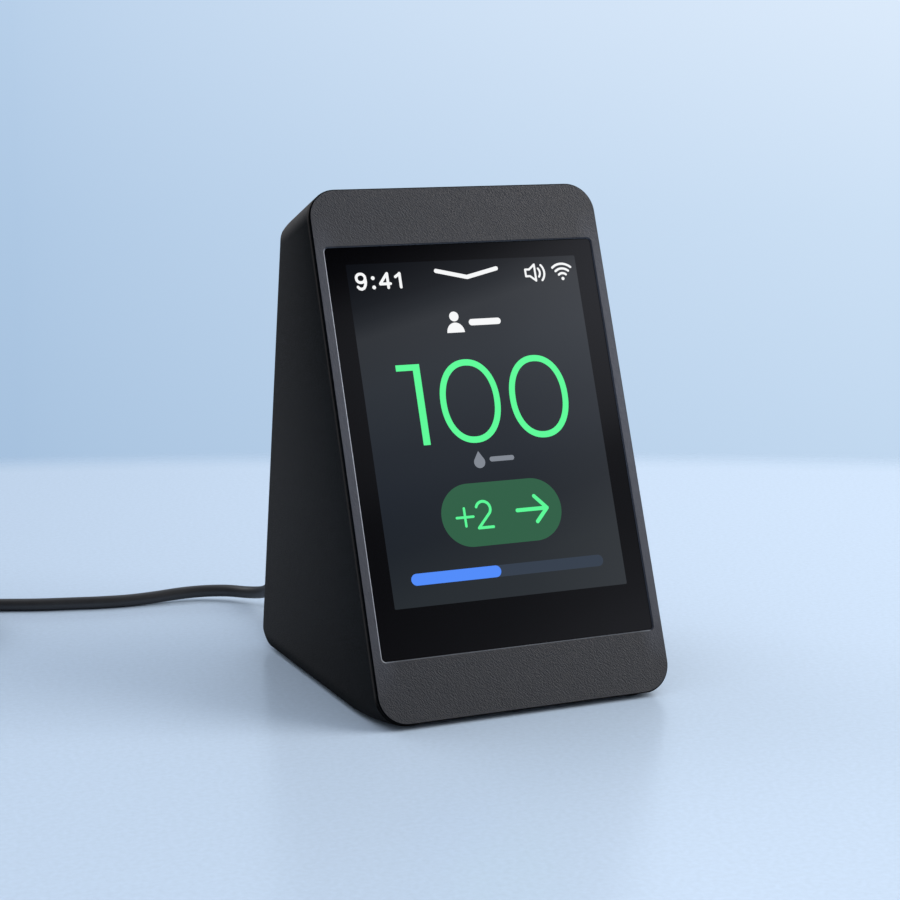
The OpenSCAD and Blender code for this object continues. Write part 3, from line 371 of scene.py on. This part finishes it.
# Colour as written, roughness, pitch and depth of the grain and radius of the edges in millimetres, nodes
MOULDED = {
    "cover_plastic": ((28, 28, 28), 0.55, 0.4, 0.02, 0.2, ["bottom_cover"]),
    "black_tape": ((20, 20, 20), 0.7, 0.3, 0.01, 0, ["glass_tape"]),
    "circuit_board": ((22, 74, 48), 0.35, 1.2, 0.01, 0, ["main_board", "button_board"]),
    "component_resin": ((38, 38, 40), 0.5, 0.3, 0.01, 0.1, ["board_parts", "switch_cases"]),
    "speaker_paper": ((34, 34, 34), 0.85, 0.5, 0.04, 0, ["speaker_cone"]),
    "speaker_frame": ((52, 52, 55), 0.5, 0.4, 0.01, 0, ["speaker_frame"]),
    "black_foam": ((36, 36, 37), 0.95, 0.6, 0.1, 0, ["speaker_gasket"]),
    "foot_rubber": ((28, 28, 28), 0.85, 0.3, 0.03, 0.2, ["rubber_feet"]),
    "button_plastic": ((48, 49, 52), 0.42, 0.3, 0.008, 0.4,
                       ["power_button", "volume_down_button", "volume_up_button"]),
    "plunger_plastic": ((214, 214, 210), 0.45, 0.4, 0.006, 0,
                        ["power_plunger", "volume_down_plunger", "volume_up_plunger", "usb_plug_insert"]),
    "label_film": ((176, 176, 178), 0.4, 0.5, 0.004, 0, ["rating_label"]),
    "cable_sheath": ((34, 34, 35), 0.5, 0.5, 0.01, 0, ["speaker_cable", "antenna_cable"]),
    "plug_plastic": ((44, 44, 47), 0.42, 0.4, 0.012, 0.4, ["plug_grip", "usb_plug_grip"]),
    "tie_rubber": ((30, 30, 31), 0.6, 0.4, 0.01, 0.3, ["coil_tie"]),
}
DULL = {"cover_plastic": 0.15}           # the specular level of a finish that hasn't the shader's own
# Colour, roughness, how the drawn grain is stretched, nodes
METALS = {
    "pressed_steel": ((178, 180, 184), 0.32, (1, 6, 6),
                      ["display_bracket", "speaker_clamp", "backlight_tray"]),
    "tinned_steel": ((200, 202, 204), 0.28, (1, 1, 1), ["processor_shield", "wifi_module"]),
    "connector_steel": ((206, 206, 210), 0.2, (1, 0.15, 1),
                        ["usb_socket", "plug_shell", "usb_plug_shell"]),
    "magnet_steel": ((146, 146, 150), 0.35, (1, 1, 1), ["speaker_magnet"]),
    "screw_steel": ((188, 188, 192), 0.3, (1, 1, 1),
                    ["bracket_screws", "board_screws", "clamp_screws", "button_board_screws"]),
    "dark_screw_steel": ((70, 70, 74), 0.35, (1, 1, 1), ["cover_screws"]),
}
# Colour, roughness, nodes
GLOSSY = {
    "cover_glass": ((4, 4, 6), 0.06, ["cover_glass"]),
    "display_panel": ((24, 26, 30), 0.2, ["display_cell"]),
    "flex_film": ((172, 116, 40), 0.3, ["display_flex", "button_flex", "antenna_patch"]),
}


def moulded(name, written, roughness, pitch, depth, edge=0):
    """Moulded plastic or rubber with a fine eroded grain; pitch, depth and edge are in millimetres."""
    colour = srgb(*written)
    material, tree, shader = new_material(name, colour, roughness,
                                          Specular_IOR_Level=DULL.get(name, SPECULAR))
    place = object_place(tree)
    size, share = MOULDED_PATCHES
    fill(tree, shader, {"Base Color": mottled(tree, colour, place, size * pitch * MM, share)})
    relief(tree, shader, noise(tree, place, 1 / (pitch * MM), MOULDED_DETAIL), depth * MM, edge * MM)
    return material


def metal(name, written, roughness, stretch):
    """Plated or pressed metal with a faint drawn grain."""
    material, tree, shader = new_material(name, srgb(*written), roughness, Metallic=1)
    grain = noise(tree, object_place(tree, stretch), 1 / METAL_PITCH, METAL_DETAIL)
    relief(tree, shader, grain, *METAL_RELIEF)
    return material


def glossy(name, written, roughness):
    """A smooth glossy surface with the faintest waviness."""
    material, tree, shader = new_material(name, srgb(*written), roughness)
    relief(tree, shader, noise(tree, object_place(tree), WAVES, WAVE_DETAIL), WAVE_DEPTH)
    return material


def give(material, nodes):
    for name in nodes:
        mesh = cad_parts[name].data
        mesh.materials.clear()
        mesh.materials.append(material)


def finish_nodes():
    """Gives each CAD node its finish."""
    give(wall_plastic(), ["rear_housing"])
    give(front_plastic(), ["front_bezel"])
    for make, finishes in ((moulded, MOULDED), (metal, METALS), (glossy, GLOSSY)):
        for name, (*looks, nodes) in finishes.items():
            give(make(name, *looks), nodes)


# ---------------------------------------------------------------- lead
LEAD_D = 3.4 * MM
LEAD_FINISH = ((46, 46, 49), 0.45, 0.5, 0.01)    # as in MOULDED
LEAD_SIDES = 4                           # the curve's bevel resolution
CURVE_STEPS = 4                          # of the smooth curve between two points of a route
# Points from the exit to the coil, counted from the exit, in millimetres
LEAD_ROUTE = [(0, 0, 0), (0, 2.5, 0), (0, 5.5, 0), (0.1, 9.2, -1), (0.3, 13.8, -3.1),
              (-0.5, 18.6, -5.2), (-2.8, 24.5, -6.4), (-7.4, 29.9, -6.7), (-13.6, 33.2, -7),
              (-20.1, 34.4, -7.3), (-26.8, 34.7, -7.7), (-33.8, 34.9, -7.9), (-41.4, 35.9, -7.9),
              (-49.1, 37.9, -7.9), (-59.3, 40.9, -7.9), (-69, 44.9, -7.9), (-78, 48.3, -7.8),
              (-87, 51.1, -7.6)]
# Points of the tail from the coil to the far plug
TAIL_ROUTE = [(-124.3, 23.9, 2.7), (-124.3, 14.9, 0.2), (-124, 6.9, -3.3), (-123.6, 0.9, -5.3),
              (-123.5, -4.1, -5.7), (-123.5, -8.1, -5.7), (-123.5, -12.1, -5.7)]
COIL_CENTRE = Vector((-102, 31.6)) * MM
COIL_R = 18.7 * MM
COIL_LIFT = 0.6 * MM
COIL_COLUMNS = 3
COIL_ROWS = 4
COLUMN_PITCH = LEAD_D + 0.1 * MM
COIL_START = math.radians(74)            # where the lead runs onto the coil
COIL_END = math.radians(180) + 11 * math.tau
STEP_BACK = math.radians(20)             # each turn moves to its next lane this much earlier
STEP_ZONE = math.radians(40)             # and takes this long to do so
COIL_STEP = math.radians(8)


def eased(share):
    share = min(max(share, 0), 1)
    return share * share * (3 - 2 * share)


def coil_lane(k):
    """Radius and height of the k-th turn: rows from the bottom, wound inward and outward by turns."""
    row, place = divmod(min(k, COIL_ROWS * COIL_COLUMNS - 1), COIL_COLUMNS)
    column = place if row % 2 else COIL_COLUMNS - 1 - place
    return (COIL_R + (column - 1) * COLUMN_PITCH, COIL_LIFT + LEAD_D * (row + 0.5))


def coil_points(exit_point):
    lane_angle = math.tau - STEP_BACK
    points = []
    angle = COIL_START
    while angle < COIL_END:
        k, along = divmod(angle - COIL_START, lane_angle)
        share = eased((along - (lane_angle - STEP_ZONE)) / STEP_ZONE)
        here, there = coil_lane(int(k)), coil_lane(int(k) + 1)
        radius = here[0] + (there[0] - here[0]) * share
        height = here[1] + (there[1] - here[1]) * share
        points.append(Vector((exit_point.x + COIL_CENTRE.x + radius * math.cos(angle),
                              exit_point.y + COIL_CENTRE.y + radius * math.sin(angle), height)))
        angle += COIL_STEP
    return points


def smooth_path(points, steps):
    """The points with a Catmull-Rom curve between them."""
    path = []
    for i in range(len(points) - 1):
        a, b = points[max(i - 1, 0)], points[i]
        c, d = points[i + 1], points[min(i + 2, len(points) - 1)]
        for k in range(steps):
            t = k / steps
            path.append(0.5 * (2 * b + (c - a) * t + (2 * a - 5 * b + 4 * c - d) * t * t
                               + (3 * b - a - 3 * c + d) * t * t * t))
    return path + [points[-1]]


def make_lead():
    """The lead, its coil and its tail: one cord from the device's plug to the far plug."""
    low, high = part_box("plug_grip")
    exit_point = Vector(((low.x + high.x) / 2, high.y, (low.z + high.z) / 2))
    out = [exit_point + Vector(point) * MM for point in LEAD_ROUTE]
    tail = [exit_point + Vector(point) * MM for point in TAIL_ROUTE]
    path = smooth_path(out, CURVE_STEPS) + coil_points(exit_point)
    path += smooth_path([path[-1]] + tail, CURVE_STEPS)[1:]

    curve = bpy.data.curves.new("lead_cord", "CURVE")
    curve.dimensions = "3D"
    curve.bevel_depth = LEAD_D / 2
    curve.bevel_resolution = LEAD_SIDES
    curve.use_fill_caps = True
    spline = curve.splines.new("POLY")
    spline.points.add(len(path) - 1)
    for point, place in zip(spline.points, path):
        point.co = (*place, 1)
    spline.use_smooth = True
    curve.materials.append(moulded("lead_sheath", *LEAD_FINISH))
    cord = bpy.data.objects.new("lead_cord", curve)
    bpy.context.scene.collection.objects.link(cord)
    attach(cord, "display_unit")
    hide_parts("lead", "lead_coil", "lead_tail")


# ---------------------------------------------------------------- flat signs
END_CORNERS = 20                         # of the disc at the end of a line
TRIANGLES = 1                            # the kind of cells the shapes' union is cut into
MERGE_WITHIN = 1e-5                      # corners of shapes this near to each other are one


def disc(centre, radius, corners=28):
    """A circle as a polygon, counter-clockwise."""
    return [(centre[0] + radius * math.cos(math.tau * k / corners),
             centre[1] + radius * math.sin(math.tau * k / corners)) for k in range(corners)]


def arc(centre, radius, start, end, corners=24, squash=1):
    """Points along an arc, from a start to an end angle in degrees; squash makes its height a share."""
    angles = [math.radians(start + (end - start) * k / corners) for k in range(corners + 1)]
    return [(centre[0] + radius * math.cos(a), centre[1] + squash * radius * math.sin(a)) for a in angles]


def oval(centre, half_width, half_height, power=2.15, corners=64):
    """Points round an oval, closed, a little squarer than an ellipse where power is over 2."""
    points = []
    for k in range(corners + 1):
        c, s = math.cos(math.tau * k / corners), math.sin(math.tau * k / corners)
        points.append((centre[0] + half_width * math.copysign(abs(c) ** (2 / power), c),
                       centre[1] + half_height * math.copysign(abs(s) ** (2 / power), s)))
    return points


def stroke(points, width):
    """The polygons that cover a line of a width: a box for each stretch and a disc for each point."""
    shapes = []
    for (ax, ay), (bx, by) in zip(points, points[1:]):
        along = Vector((bx - ax, by - ay))
        side = Vector((-along.y, along.x)).normalized() * width / 2
        shapes.append([(ax - side.x, ay - side.y), (bx - side.x, by - side.y),
                       (bx + side.x, by + side.y), (ax + side.x, ay + side.y)])
    return shapes + [disc(point, width / 2, END_CORNERS) for point in points]


def strokes(lines, width):
    """The polygons that cover lines of one width."""
    return [shape for line in lines for shape in stroke(line, width)]


def plate_mesh(name, shapes, low, high, place):
    """A thin closed plate whose outline is the union of the shapes. place turns (x, y, height), in
    millimetres on the flat, to a point in the row frame."""
    corners, faces = [], []
    for shape in shapes:
        faces.append(list(range(len(corners), len(corners) + len(shape))))
        corners += [Vector(corner) for corner in shape]
    flat, _, cells, _, _, origins = geometry.delaunay_2d_cdt(corners, [], faces, TRIANGLES, MERGE_WITHIN)
    cells = [cell for cell, origin in zip(cells, origins) if origin]
    used = sorted({corner for cell in cells for corner in cell})
    work = bmesh.new()
    floor = {i: work.verts.new(place(flat[i].x, flat[i].y, low)) for i in used}
    roof = {i: work.verts.new(place(flat[i].x, flat[i].y, high)) for i in used}
    rim = {}
    for cell in cells:
        work.faces.new([roof[i] for i in cell])
        work.faces.new([floor[i] for i in reversed(cell)])
        for edge in zip(cell, cell[1:] + cell[:1]):
            if edge[::-1] in rim:
                del rim[edge[::-1]]
            else:
                rim[edge] = True
    for a, b in rim:
        work.faces.new([floor[a], floor[b], roof[b], roof[a]])
    mesh = bpy.data.meshes.new(name)
    work.to_mesh(mesh)
    work.free()
    return mesh


def add_plate(name, shapes, low, high, place, material, body, slot_name):
    mesh = plate_mesh(name, shapes, low, high, place)
    mesh.materials.append(material)
    piece = bpy.data.objects.new(name, mesh)
    bpy.context.scene.collection.objects.link(piece)
    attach(piece, body)


def box(x0, y0, x1, y1):
    """A box as a polygon, counter-clockwise."""
    return [(x0, y0), (x1, y0), (x1, y1), (x0, y1)]


def rounded_box(x0, y0, x1, y1, radius, corners=10):
    """A box with round corners as a polygon, counter-clockwise."""
    outline = []
    for cx, cy, start in ((x1 - radius, y1 - radius, 0), (x0 + radius, y1 - radius, 90),
                          (x0 + radius, y0 + radius, 180), (x1 - radius, y0 + radius, 270)):
        outline += arc((cx, cy), radius, start, start + 90, corners)
    return outline


# ---------------------------------------------------------------- screen
# Places on the screen are millimetres: x from its centre line, y up from the front plate's lower edge.
GLASS_BOTTOM = 15.1
GLASS_ROUGHNESS = 0.06
SUNK = -0.01                             # the lowest height, a little under what carries a thin plate
LIT_HEIGHT = 0.02                        # how far the lit area and the signs stand on the glass
SIGN_HEIGHT = 0.035
TOP_SIGN_HEIGHT = 0.05
BLACK = (0, 0, 0, 1)
WHITE = (246, 247, 248)
GREEN = (92, 250, 152)
# The picture's ground in linear values, its own dark glow with a painted reflection of a soft light: its
# colour up a slanting line, and the grey added to the right
GROUND_BAND = [(0, (0.018, 0.0228, 0.0278)), (0.15, (0.0122, 0.016, 0.022)),
               (0.3, (0.0125, 0.0168, 0.0242)), (0.42, (0.0138, 0.0182, 0.0255)),
               (0.52, (0.0172, 0.0223, 0.0295)), (0.62, (0.0205, 0.0255, 0.0325)),
               (0.77, (0.0228, 0.0262, 0.0315)),
               (0.82, (0.0105, 0.013, 0.017)), (0.865, (0.0048, 0.0063, 0.0092)),
               (0.93, (0.0038, 0.005, 0.0075)), (1, (0.003, 0.0038, 0.006))]
GROUND_PAINTED_REFLECTION = [(0, 0), (0.6, 0.003), (1, 0.010)]
GROUND_SLANT = 0.18

# The lit area of the panel
LIT_AREA = [rounded_box(-30.5, 26.7, 30.4, 109.4, 0.3, 4)]

# The clock time, in plain numerals. A name that ends in LINE is the width of lines.
CLOCK_LINE = 0.7
CLOCK_NINE = [oval((-27.18, 105.93), 1.11, 1.05, 2.1, 28),
              [(-26.07, 105.93), (-26.02, 105.0), (-26.2, 104.15), (-26.6, 103.5), (-27.2, 103.24),
               (-27.8, 103.42), (-28.12, 103.8)]]
CLOCK_COLON = [disc((-24.08, 105.85), 0.48), disc((-24.05, 103.56), 0.48)]
CLOCK_FOUR = [[(-20.42, 106.8), (-22.33, 104.4)],
              [(-22.33, 104.32), (-19.72, 104.32)],
              [(-20.35, 106.85), (-20.35, 103.35)]]
CLOCK_ONE = [[(-17.12, 106.75), (-17.12, 103.35)], [(-18.25, 105.95), (-17.12, 106.7)]]
CLOCK = strokes(CLOCK_NINE, CLOCK_LINE) + CLOCK_COLON + strokes(CLOCK_FOUR + CLOCK_ONE, CLOCK_LINE)

# The mark to pull the menu down by
PULL_LINE = 1.05
PULL_MARK = stroke([(-7.5, 106.95), (0.45, 105.1), (8.5, 106.95)], PULL_LINE)

# A loudspeaker with two sound waves
SPEAKER_LINE = 0.52
SPEAKER_BODY = [(16.3, 104.6), (16.3, 106.3), (17.4, 106.3), (18.9, 107.5), (18.9, 103.4), (17.4, 104.6),
                (16.3, 104.6)]
WAVE_LINE = 0.54
SPEAKER_WAVES = [arc((18.6, 105.4), 1.6, -40, 40, 10), arc((18.6, 105.4), 2.8, -44, 42, 14)]
SPEAKER = stroke(SPEAKER_BODY, SPEAKER_LINE) + strokes(SPEAKER_WAVES, WAVE_LINE)

# The fan of arcs that stands for a radio link
RADIO_LINE = 0.58
RADIO_WAVES = [arc((26.3, 103.5), radius, 50, 130, 16) for radius in (1.5, 2.7, 3.9)]
RADIO = [disc((26.3, 103.62), 0.42)] + strokes(RADIO_WAVES, RADIO_LINE)

# A person sign and a blank line, in the place of a name
PERSON = [disc((-4.6, 95.45), 1.22),
          arc((-4.6, 91.45), 2.3, 0, 180, 24, squash=1.08),
          rounded_box(-0.9, 93.0, 7.6, 94.6, 0.79)]

# The reading: one and two noughts
READING_LINE = 1.55
NOUGHTS = [oval((x, 74.5), 7.05, 9.5) for x in (-3.6, 14.7)]
READING = [box(-21.6, 82.8, -15.5, 84.3), box(-17.3, 64.6, -15.5, 84.3)] + strokes(NOUGHTS, READING_LINE)

# A drop sign and a blank line, in the place of a unit
DROP_TIP = (-3.6, 62.2)
DROP = [arc((-3.6, 59.5), 1.45, 145, 395, 28) + [DROP_TIP], rounded_box(-0.9, 59.4, 5.6, 60.6, 0.59)]

# A pill, and on it the change in the reading and an arrow that says it is level
PILL = [rounded_box(-15.5, 39.4, 16.0, 54.6, 7.59, 20)]
PLUS_LINE = 0.62
PLUS = [[(-11.65, 46.6), (-7.35, 46.6)], [(-9.5, 44.45), (-9.5, 48.75)]]
TWO_LINE = 0.68
TWO = [arc((-4.55, 48.2), 1.85, 160, -35, 20) + [(-6.3, 43.75)], [(-6.3, 43.75), (-2.5, 43.75)]]
ARROW_LINE = 0.95
ARROW = [[(4.3, 47.1), (12.0, 47.1)], [(9.2, 50.2), (12.2, 47.1), (9.2, 44.0)]]
CHANGE = strokes(PLUS, PLUS_LINE) + strokes(TWO, TWO_LINE) + strokes(ARROW, ARROW_LINE)

# A track, and on it the progress so far
TRACK = [rounded_box(-25.4, 31.7, 25.0, 34.5, 1.39, 12)]
PROGRESS = [rounded_box(-25.4, 31.7, -2.3, 34.5, 1.39, 12)]

# Shapes and colour of each sign
SIGNS = {
    "screen_clock": (CLOCK, WHITE),
    "screen_pull_mark": (PULL_MARK, WHITE),
    "screen_speaker_sign": (SPEAKER, WHITE),
    "screen_radio_sign": (RADIO, WHITE),
    "screen_person_sign": (PERSON, WHITE),
    "screen_reading": (READING, GREEN),
    "screen_drop_sign": (DROP, (130, 136, 146)),
    "screen_pill": (PILL, (48, 96, 70)),
    "screen_change": (CHANGE, GREEN),
    "screen_track": (TRACK, (52, 62, 76)),
    "screen_progress": (PROGRESS, (82, 140, 250)),
}
ON_TOP = ("screen_change", "screen_progress")    # of another sign


def glass_corner():
    """The middle of the glass's lower edge at its face."""
    low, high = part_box("cover_glass")
    span = high - low
    length = (span.z * math.cos(FACE_TILT) - span.y * math.sin(FACE_TILT)) / math.cos(2 * FACE_TILT)
    return Vector((0, low.y, high.z - length * math.cos(FACE_TILT)))


SCREEN_ORIGIN = glass_corner()


def on_screen(x, y, height):
    foot = SCREEN_ORIGIN + Vector((x * MM, 0, 0))
    return foot + FACE_UP * (y - GLASS_BOTTOM) * MM + FACE_OUT * height * MM


def lit_material(name, colour):
    """A sign that shines in its own colour and has the glass's gloss."""
    material, _, _ = new_material(name, BLACK, GLASS_ROUGHNESS, Emission_Color=colour,
                                  Emission_Strength=1)
    return material


def screen_ground():
    """The dark ground of the picture, its own glow with a painted reflection: darker at the upper left, a
    little lighter to the right.
    """
    material, tree, shader = new_material("screen_ground", BLACK, GLASS_ROUGHNESS, Emission_Strength=1)
    place = add_node(tree, "TexCoord").outputs["Generated"]
    axes = axes_of(tree, place)
    # Painted reflection on the glowing ground: a slanting band, and grey added to the right
    band = add_ramp(tree, calc(tree, "MULTIPLY_ADD", axes["X"], -GROUND_SLANT, axes["Z"]), GROUND_BAND)
    right = add_ramp(tree, axes["X"], grey(GROUND_PAINTED_REFLECTION))
    fill(tree, shader, {"Emission Color": blended(tree, 1, band, right, "ADD")})
    return material


def make_screen():
    """The lit area and the signs on it, each a thin plate on the cover glass."""
    add_plate("screen_ground", LIT_AREA, SUNK, LIT_HEIGHT, on_screen, screen_ground(), "display_unit",
              "cover_glass")
    for name, (shapes, colour) in SIGNS.items():
        heights = (SIGN_HEIGHT, TOP_SIGN_HEIGHT) if name in ON_TOP else (LIT_HEIGHT, SIGN_HEIGHT)
        material = lit_material(name, srgb(*colour))
        add_plate(name, shapes, *heights, on_screen, material, "display_unit", "cover_glass")


# ---------------------------------------------------------------- signs on the rear keys
KEY_LINE = 0.42                          # width and height of the printed lines, in millimetres
KEY_SIGN_HEIGHT = 0.02
KEY_PAINT = ((158, 160, 164), 0.5, 0.3, 0.004)   # as in MOULDED
OUTWARDS = 0.5                           # a key's outer faces point to +Y by more than this
# The lines of each sign, in millimetres on its key
LESS = [[(-1.1, 0), (1.1, 0)]]
KEY_SIGNS = {
    "power": [arc((0, 0), 1.45, 128, 412, 28), [(0, 0.5), (0, 1.9)]],
    "volume_down": LESS,
    "volume_up": LESS + [[(0, -1.1), (0, 1.1)]],
}


def on_key(node):
    """A place on the outer face of a key, as (x, y, height) in millimetres from its middle, seen from
    behind."""
    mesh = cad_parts[node].data
    outer = [face for face in mesh.polygons if face.normal.y > OUTWARDS]
    out = max(outer, key=lambda face: face.area).normal
    up = Vector((0, -out.z, out.y))
    corners = [corner.co for corner in mesh.vertices]
    levels = [up.dot(corner) for corner in corners]
    sides = [corner.x for corner in corners]
    middle = (Vector(((min(sides) + max(sides)) / 2, 0, 0)) + up * (min(levels) + max(levels)) / 2
              + out * max(out.dot(corner) for corner in corners))

    def place(x, y, height):
        return middle + (up * y + out * height - Vector((x, 0, 0))) * MM
    return place


def make_key_signs():
    """The printed signs on the keys: power, less and more."""
    paint = moulded("key_paint", *KEY_PAINT)
    for key, lines in KEY_SIGNS.items():
        add_plate(key + "_sign", strokes(lines, KEY_LINE), SUNK, KEY_SIGN_HEIGHT, on_key(key + "_button"),
                  paint, key + "_key", "button_plastic")


# ---------------------------------------------------------------- studio
FLOOR_HALF = 1.5                         # half its side
FLOOR_COLOUR = srgb(190, 208, 230)
FLOOR_ROUGHNESS = 0.25
FLOOR_SPECULAR = 0.36
FLOOR_PATCHES = (1.3 * MM, 0.035)        # size of the patches in its colour, and how much they differ
FLOOR_GRAINS = 900                       # to the metre
FLOOR_DETAIL = 2
FLOOR_RELIEF = 0.01 * MM
FLOOR_FADE = (0.285, 0.62)               # where the floor ends, along the camera's heading and across it
FLOOR_RIM = (0.93, 1.07)                 # it fades from and to these shares of that
# The backdrop by degrees above the horizon, at the left and at the right
BACKDROP_LEFT = [(-11, (166, 193, 222)), (-4, (174, 200, 228)), (2, (184, 208, 234))]
BACKDROP_RIGHT = [(-11, (192, 215, 239)), (-4, (204, 224, 245)), (2, (220, 235, 252))]
BACKDROP_TURN = (-0.2, 0.2)              # from left to right by this share of across
BACKDROP_EASE = 0.75
LIGHT_LEVEL = 0.37                       # the soft light from all round
LIGHT_RISE = (0.12, 0, 0.55)             # and how it grows to the right and upwards
LIGHT_COLOUR = (0.93, 0.965, 1.0, 1)
# What gloss sees, by the direction's X and Z: a window in front, and the backdrop from BEHIND's Y on
WINDOW_SIDE = [(0.1, 0.12), (0.3, 0.22), (0.36, 0.36), (0.42, 0.6), (0.47, 1), (0.75, 1.2), (0.92, 1.6)]
WINDOW_RISE = [(0.37, 0.36), (0.386, 0.25), (0.42, 0.18), (0.445, 0.2), (0.461, 0.42), (0.49, 0.58),
               (0.505, 0.66), (0.53, 0.66), (0.542, 0.18), (0.556, 0.01)]
WINDOW_COLOUR = (1, 1.04, 1.2, 1)
BEHIND = (-0.3, 0.2)
BACKDROP_SIDE = [(0, 0.2), (0.16, 0.5), (0.4, 0.88), (0.75, 1)]
# Each lamp's place, the sides of its area, its power and its colour
KEY_LIGHT = ((1.24, -0.66, 0.98), (1.1, 1.1), 20.8, (1.0, 0.95, 0.88))
REAR_LIGHT = ((-0.5, 0.8, 0.9), (0.8, 0.5), 3.4, (0.98, 0.98, 1.0))
SIDE_LIGHT = ((0.5, 0.75, 0.8), (0.4, 0.4), 1.1, (0.98, 0.98, 1.0))
LIGHT_AIM = Vector((0, 0, 0.06))


def make_floor():
    """A pale blue table top that fades into the backdrop behind the object."""
    mesh = bpy.data.meshes.new("floor")
    corners = [(x * FLOOR_HALF, y * FLOOR_HALF, 0) for x, y in ((-1, -1), (1, -1), (1, 1), (-1, 1))]
    mesh.from_pydata(corners, [], [(0, 1, 2, 3)])
    material, tree, shader = new_material("floor", FLOOR_COLOUR, FLOOR_ROUGHNESS,
                                          Specular_IOR_Level=FLOOR_SPECULAR)
    place = object_place(tree)
    fill(tree, shader, {"Base Color": mottled(tree, FLOOR_COLOUR, place, *FLOOR_PATCHES)})
    relief(tree, shader, noise(tree, place, FLOOR_GRAINS, FLOOR_DETAIL), FLOOR_RELIEF)
    ahead = dot(tree, place, HEADING / FLOOR_FADE[0])
    across = dot(tree, place, ACROSS / FLOOR_FADE[1])
    both = add_node(tree, "CombineXYZ", {"X": ahead, "Y": across}).outputs[0]
    far = add_node(tree, "VectorMath", {0: both}, operation="LENGTH").outputs["Value"]
    clear = add_node(tree, "BsdfTransparent").outputs[0]
    result = mix_shaders(tree, spread(tree, far, *FLOOR_RIM, ease="SMOOTHSTEP"), shader.outputs[0], clear)
    tree.links.new(result, tree.nodes["Material Output"].inputs[0])
    mesh.materials.append(material)
    floor = bpy.data.objects.new("floor", mesh)
    bpy.context.scene.collection.objects.link(floor)
    return floor


def backdrop_ramp(tree, height, stops):
    lowest, highest = stops[0][0], stops[-1][0]
    return add_ramp(tree, height, [((degrees - lowest) / (highest - lowest), srgb(*colour))
                                   for degrees, colour in stops])


def backdrop_colour(tree, direction):
    """The backdrop by height, blended from left to right across the camera's view."""
    lowest, highest = [math.sin(math.radians(BACKDROP_LEFT[end][0])) for end in (0, -1)]
    height = spread(tree, axes_of(tree, direction)["Z"], lowest, highest)
    share = calc(tree, "POWER", spread(tree, dot(tree, direction, ACROSS), *BACKDROP_TURN), BACKDROP_EASE)
    left, right = [backdrop_ramp(tree, height, stops) for stops in (BACKDROP_LEFT, BACKDROP_RIGHT)]
    return blended(tree, share, left, right)


def gloss_light(tree, direction, backdrop):
    """What gloss sees: in front a soft window to the right, with a dark ceiling over it; behind, the
    backdrop. Both brighten far to the right."""
    axes = axes_of(tree, direction)
    window = blended(tree, 1, add_ramp(tree, axes["Z"], grey(WINDOW_RISE)), WINDOW_COLOUR, "MULTIPLY")
    behind = spread(tree, axes["Y"], *BEHIND)
    side, far_side = [add_ramp(tree, axes["X"], grey(stops)) for stops in (WINDOW_SIDE, BACKDROP_SIDE)]
    return {"Color": blended(tree, behind, window, backdrop),
            "Strength": blended(tree, behind, side, far_side)}


def make_world():
    """Soft light from all round, and a pale blue backdrop where the camera, gloss and glass see it."""
    world = bpy.data.worlds.new("studio")
    bpy.context.scene.world = world
    world.use_nodes = True
    tree = world.node_tree
    light = tree.nodes["Background"]
    direction = add_node(tree, "TexCoord").outputs["Generated"]
    power = calc(tree, "ADD", dot(tree, direction, LIGHT_RISE), LIGHT_LEVEL)
    fill(tree, light, {"Color": LIGHT_COLOUR, "Strength": power})
    backdrop = backdrop_colour(tree, direction)
    seen = add_node(tree, "Background", {"Color": backdrop, "Strength": 1})
    gloss = add_node(tree, "Background", gloss_light(tree, direction, backdrop))
    path = add_node(tree, "LightPath").outputs
    looks = calc(tree, "MAXIMUM", path["Is Camera Ray"], path["Is Transmission Ray"])
    shine = mix_shaders(tree, path["Is Glossy Ray"], light.outputs[0], gloss.outputs[0])
    result = mix_shaders(tree, looks, shine, seen.outputs[0])
    tree.links.new(result, tree.nodes["World Output"].inputs[0])


def add_light(name, place, size, power, colour):
    data = bpy.data.lights.new(name, "AREA")
    data.shape = "RECTANGLE"
    data.size, data.size_y = size
    data.energy = power
    data.color = colour
    lamp = bpy.data.objects.new(name, data)
    lamp.location = place
    lamp.rotation_euler = (LIGHT_AIM - Vector(place)).to_track_quat("-Z", "Y").to_euler()
    bpy.context.scene.collection.objects.link(lamp)
    return lamp


def link_light(lamp, piece, state):
    """Lets the lamp light only the piece, or all but the piece."""
    group = bpy.data.collections.new(lamp.name + "_receivers")
    group.objects.link(piece)
    group.collection_objects[0].light_linking.link_state = state
    lamp.light_linking.receiver_collection = group


def make_lights(floor):
    """A warm key light for all but the floor, its twin without gloss for the floor, and two weak lights
    behind."""
    link_light(add_light("key_light", *KEY_LIGHT), floor, "EXCLUDE")
    floor_light = add_light("floor_light", *KEY_LIGHT)
    link_light(floor_light, floor, "INCLUDE")
    floor_light.visible_glossy = False
    add_light("rear_light", *REAR_LIGHT)
    add_light("side_light", *SIDE_LIGHT)


make_camera()
make_lead()
finish_nodes()
make_screen()
make_key_signs()
make_world()
make_lights(make_floor())
bpy.context.scene.view_settings.view_transform = "Standard"
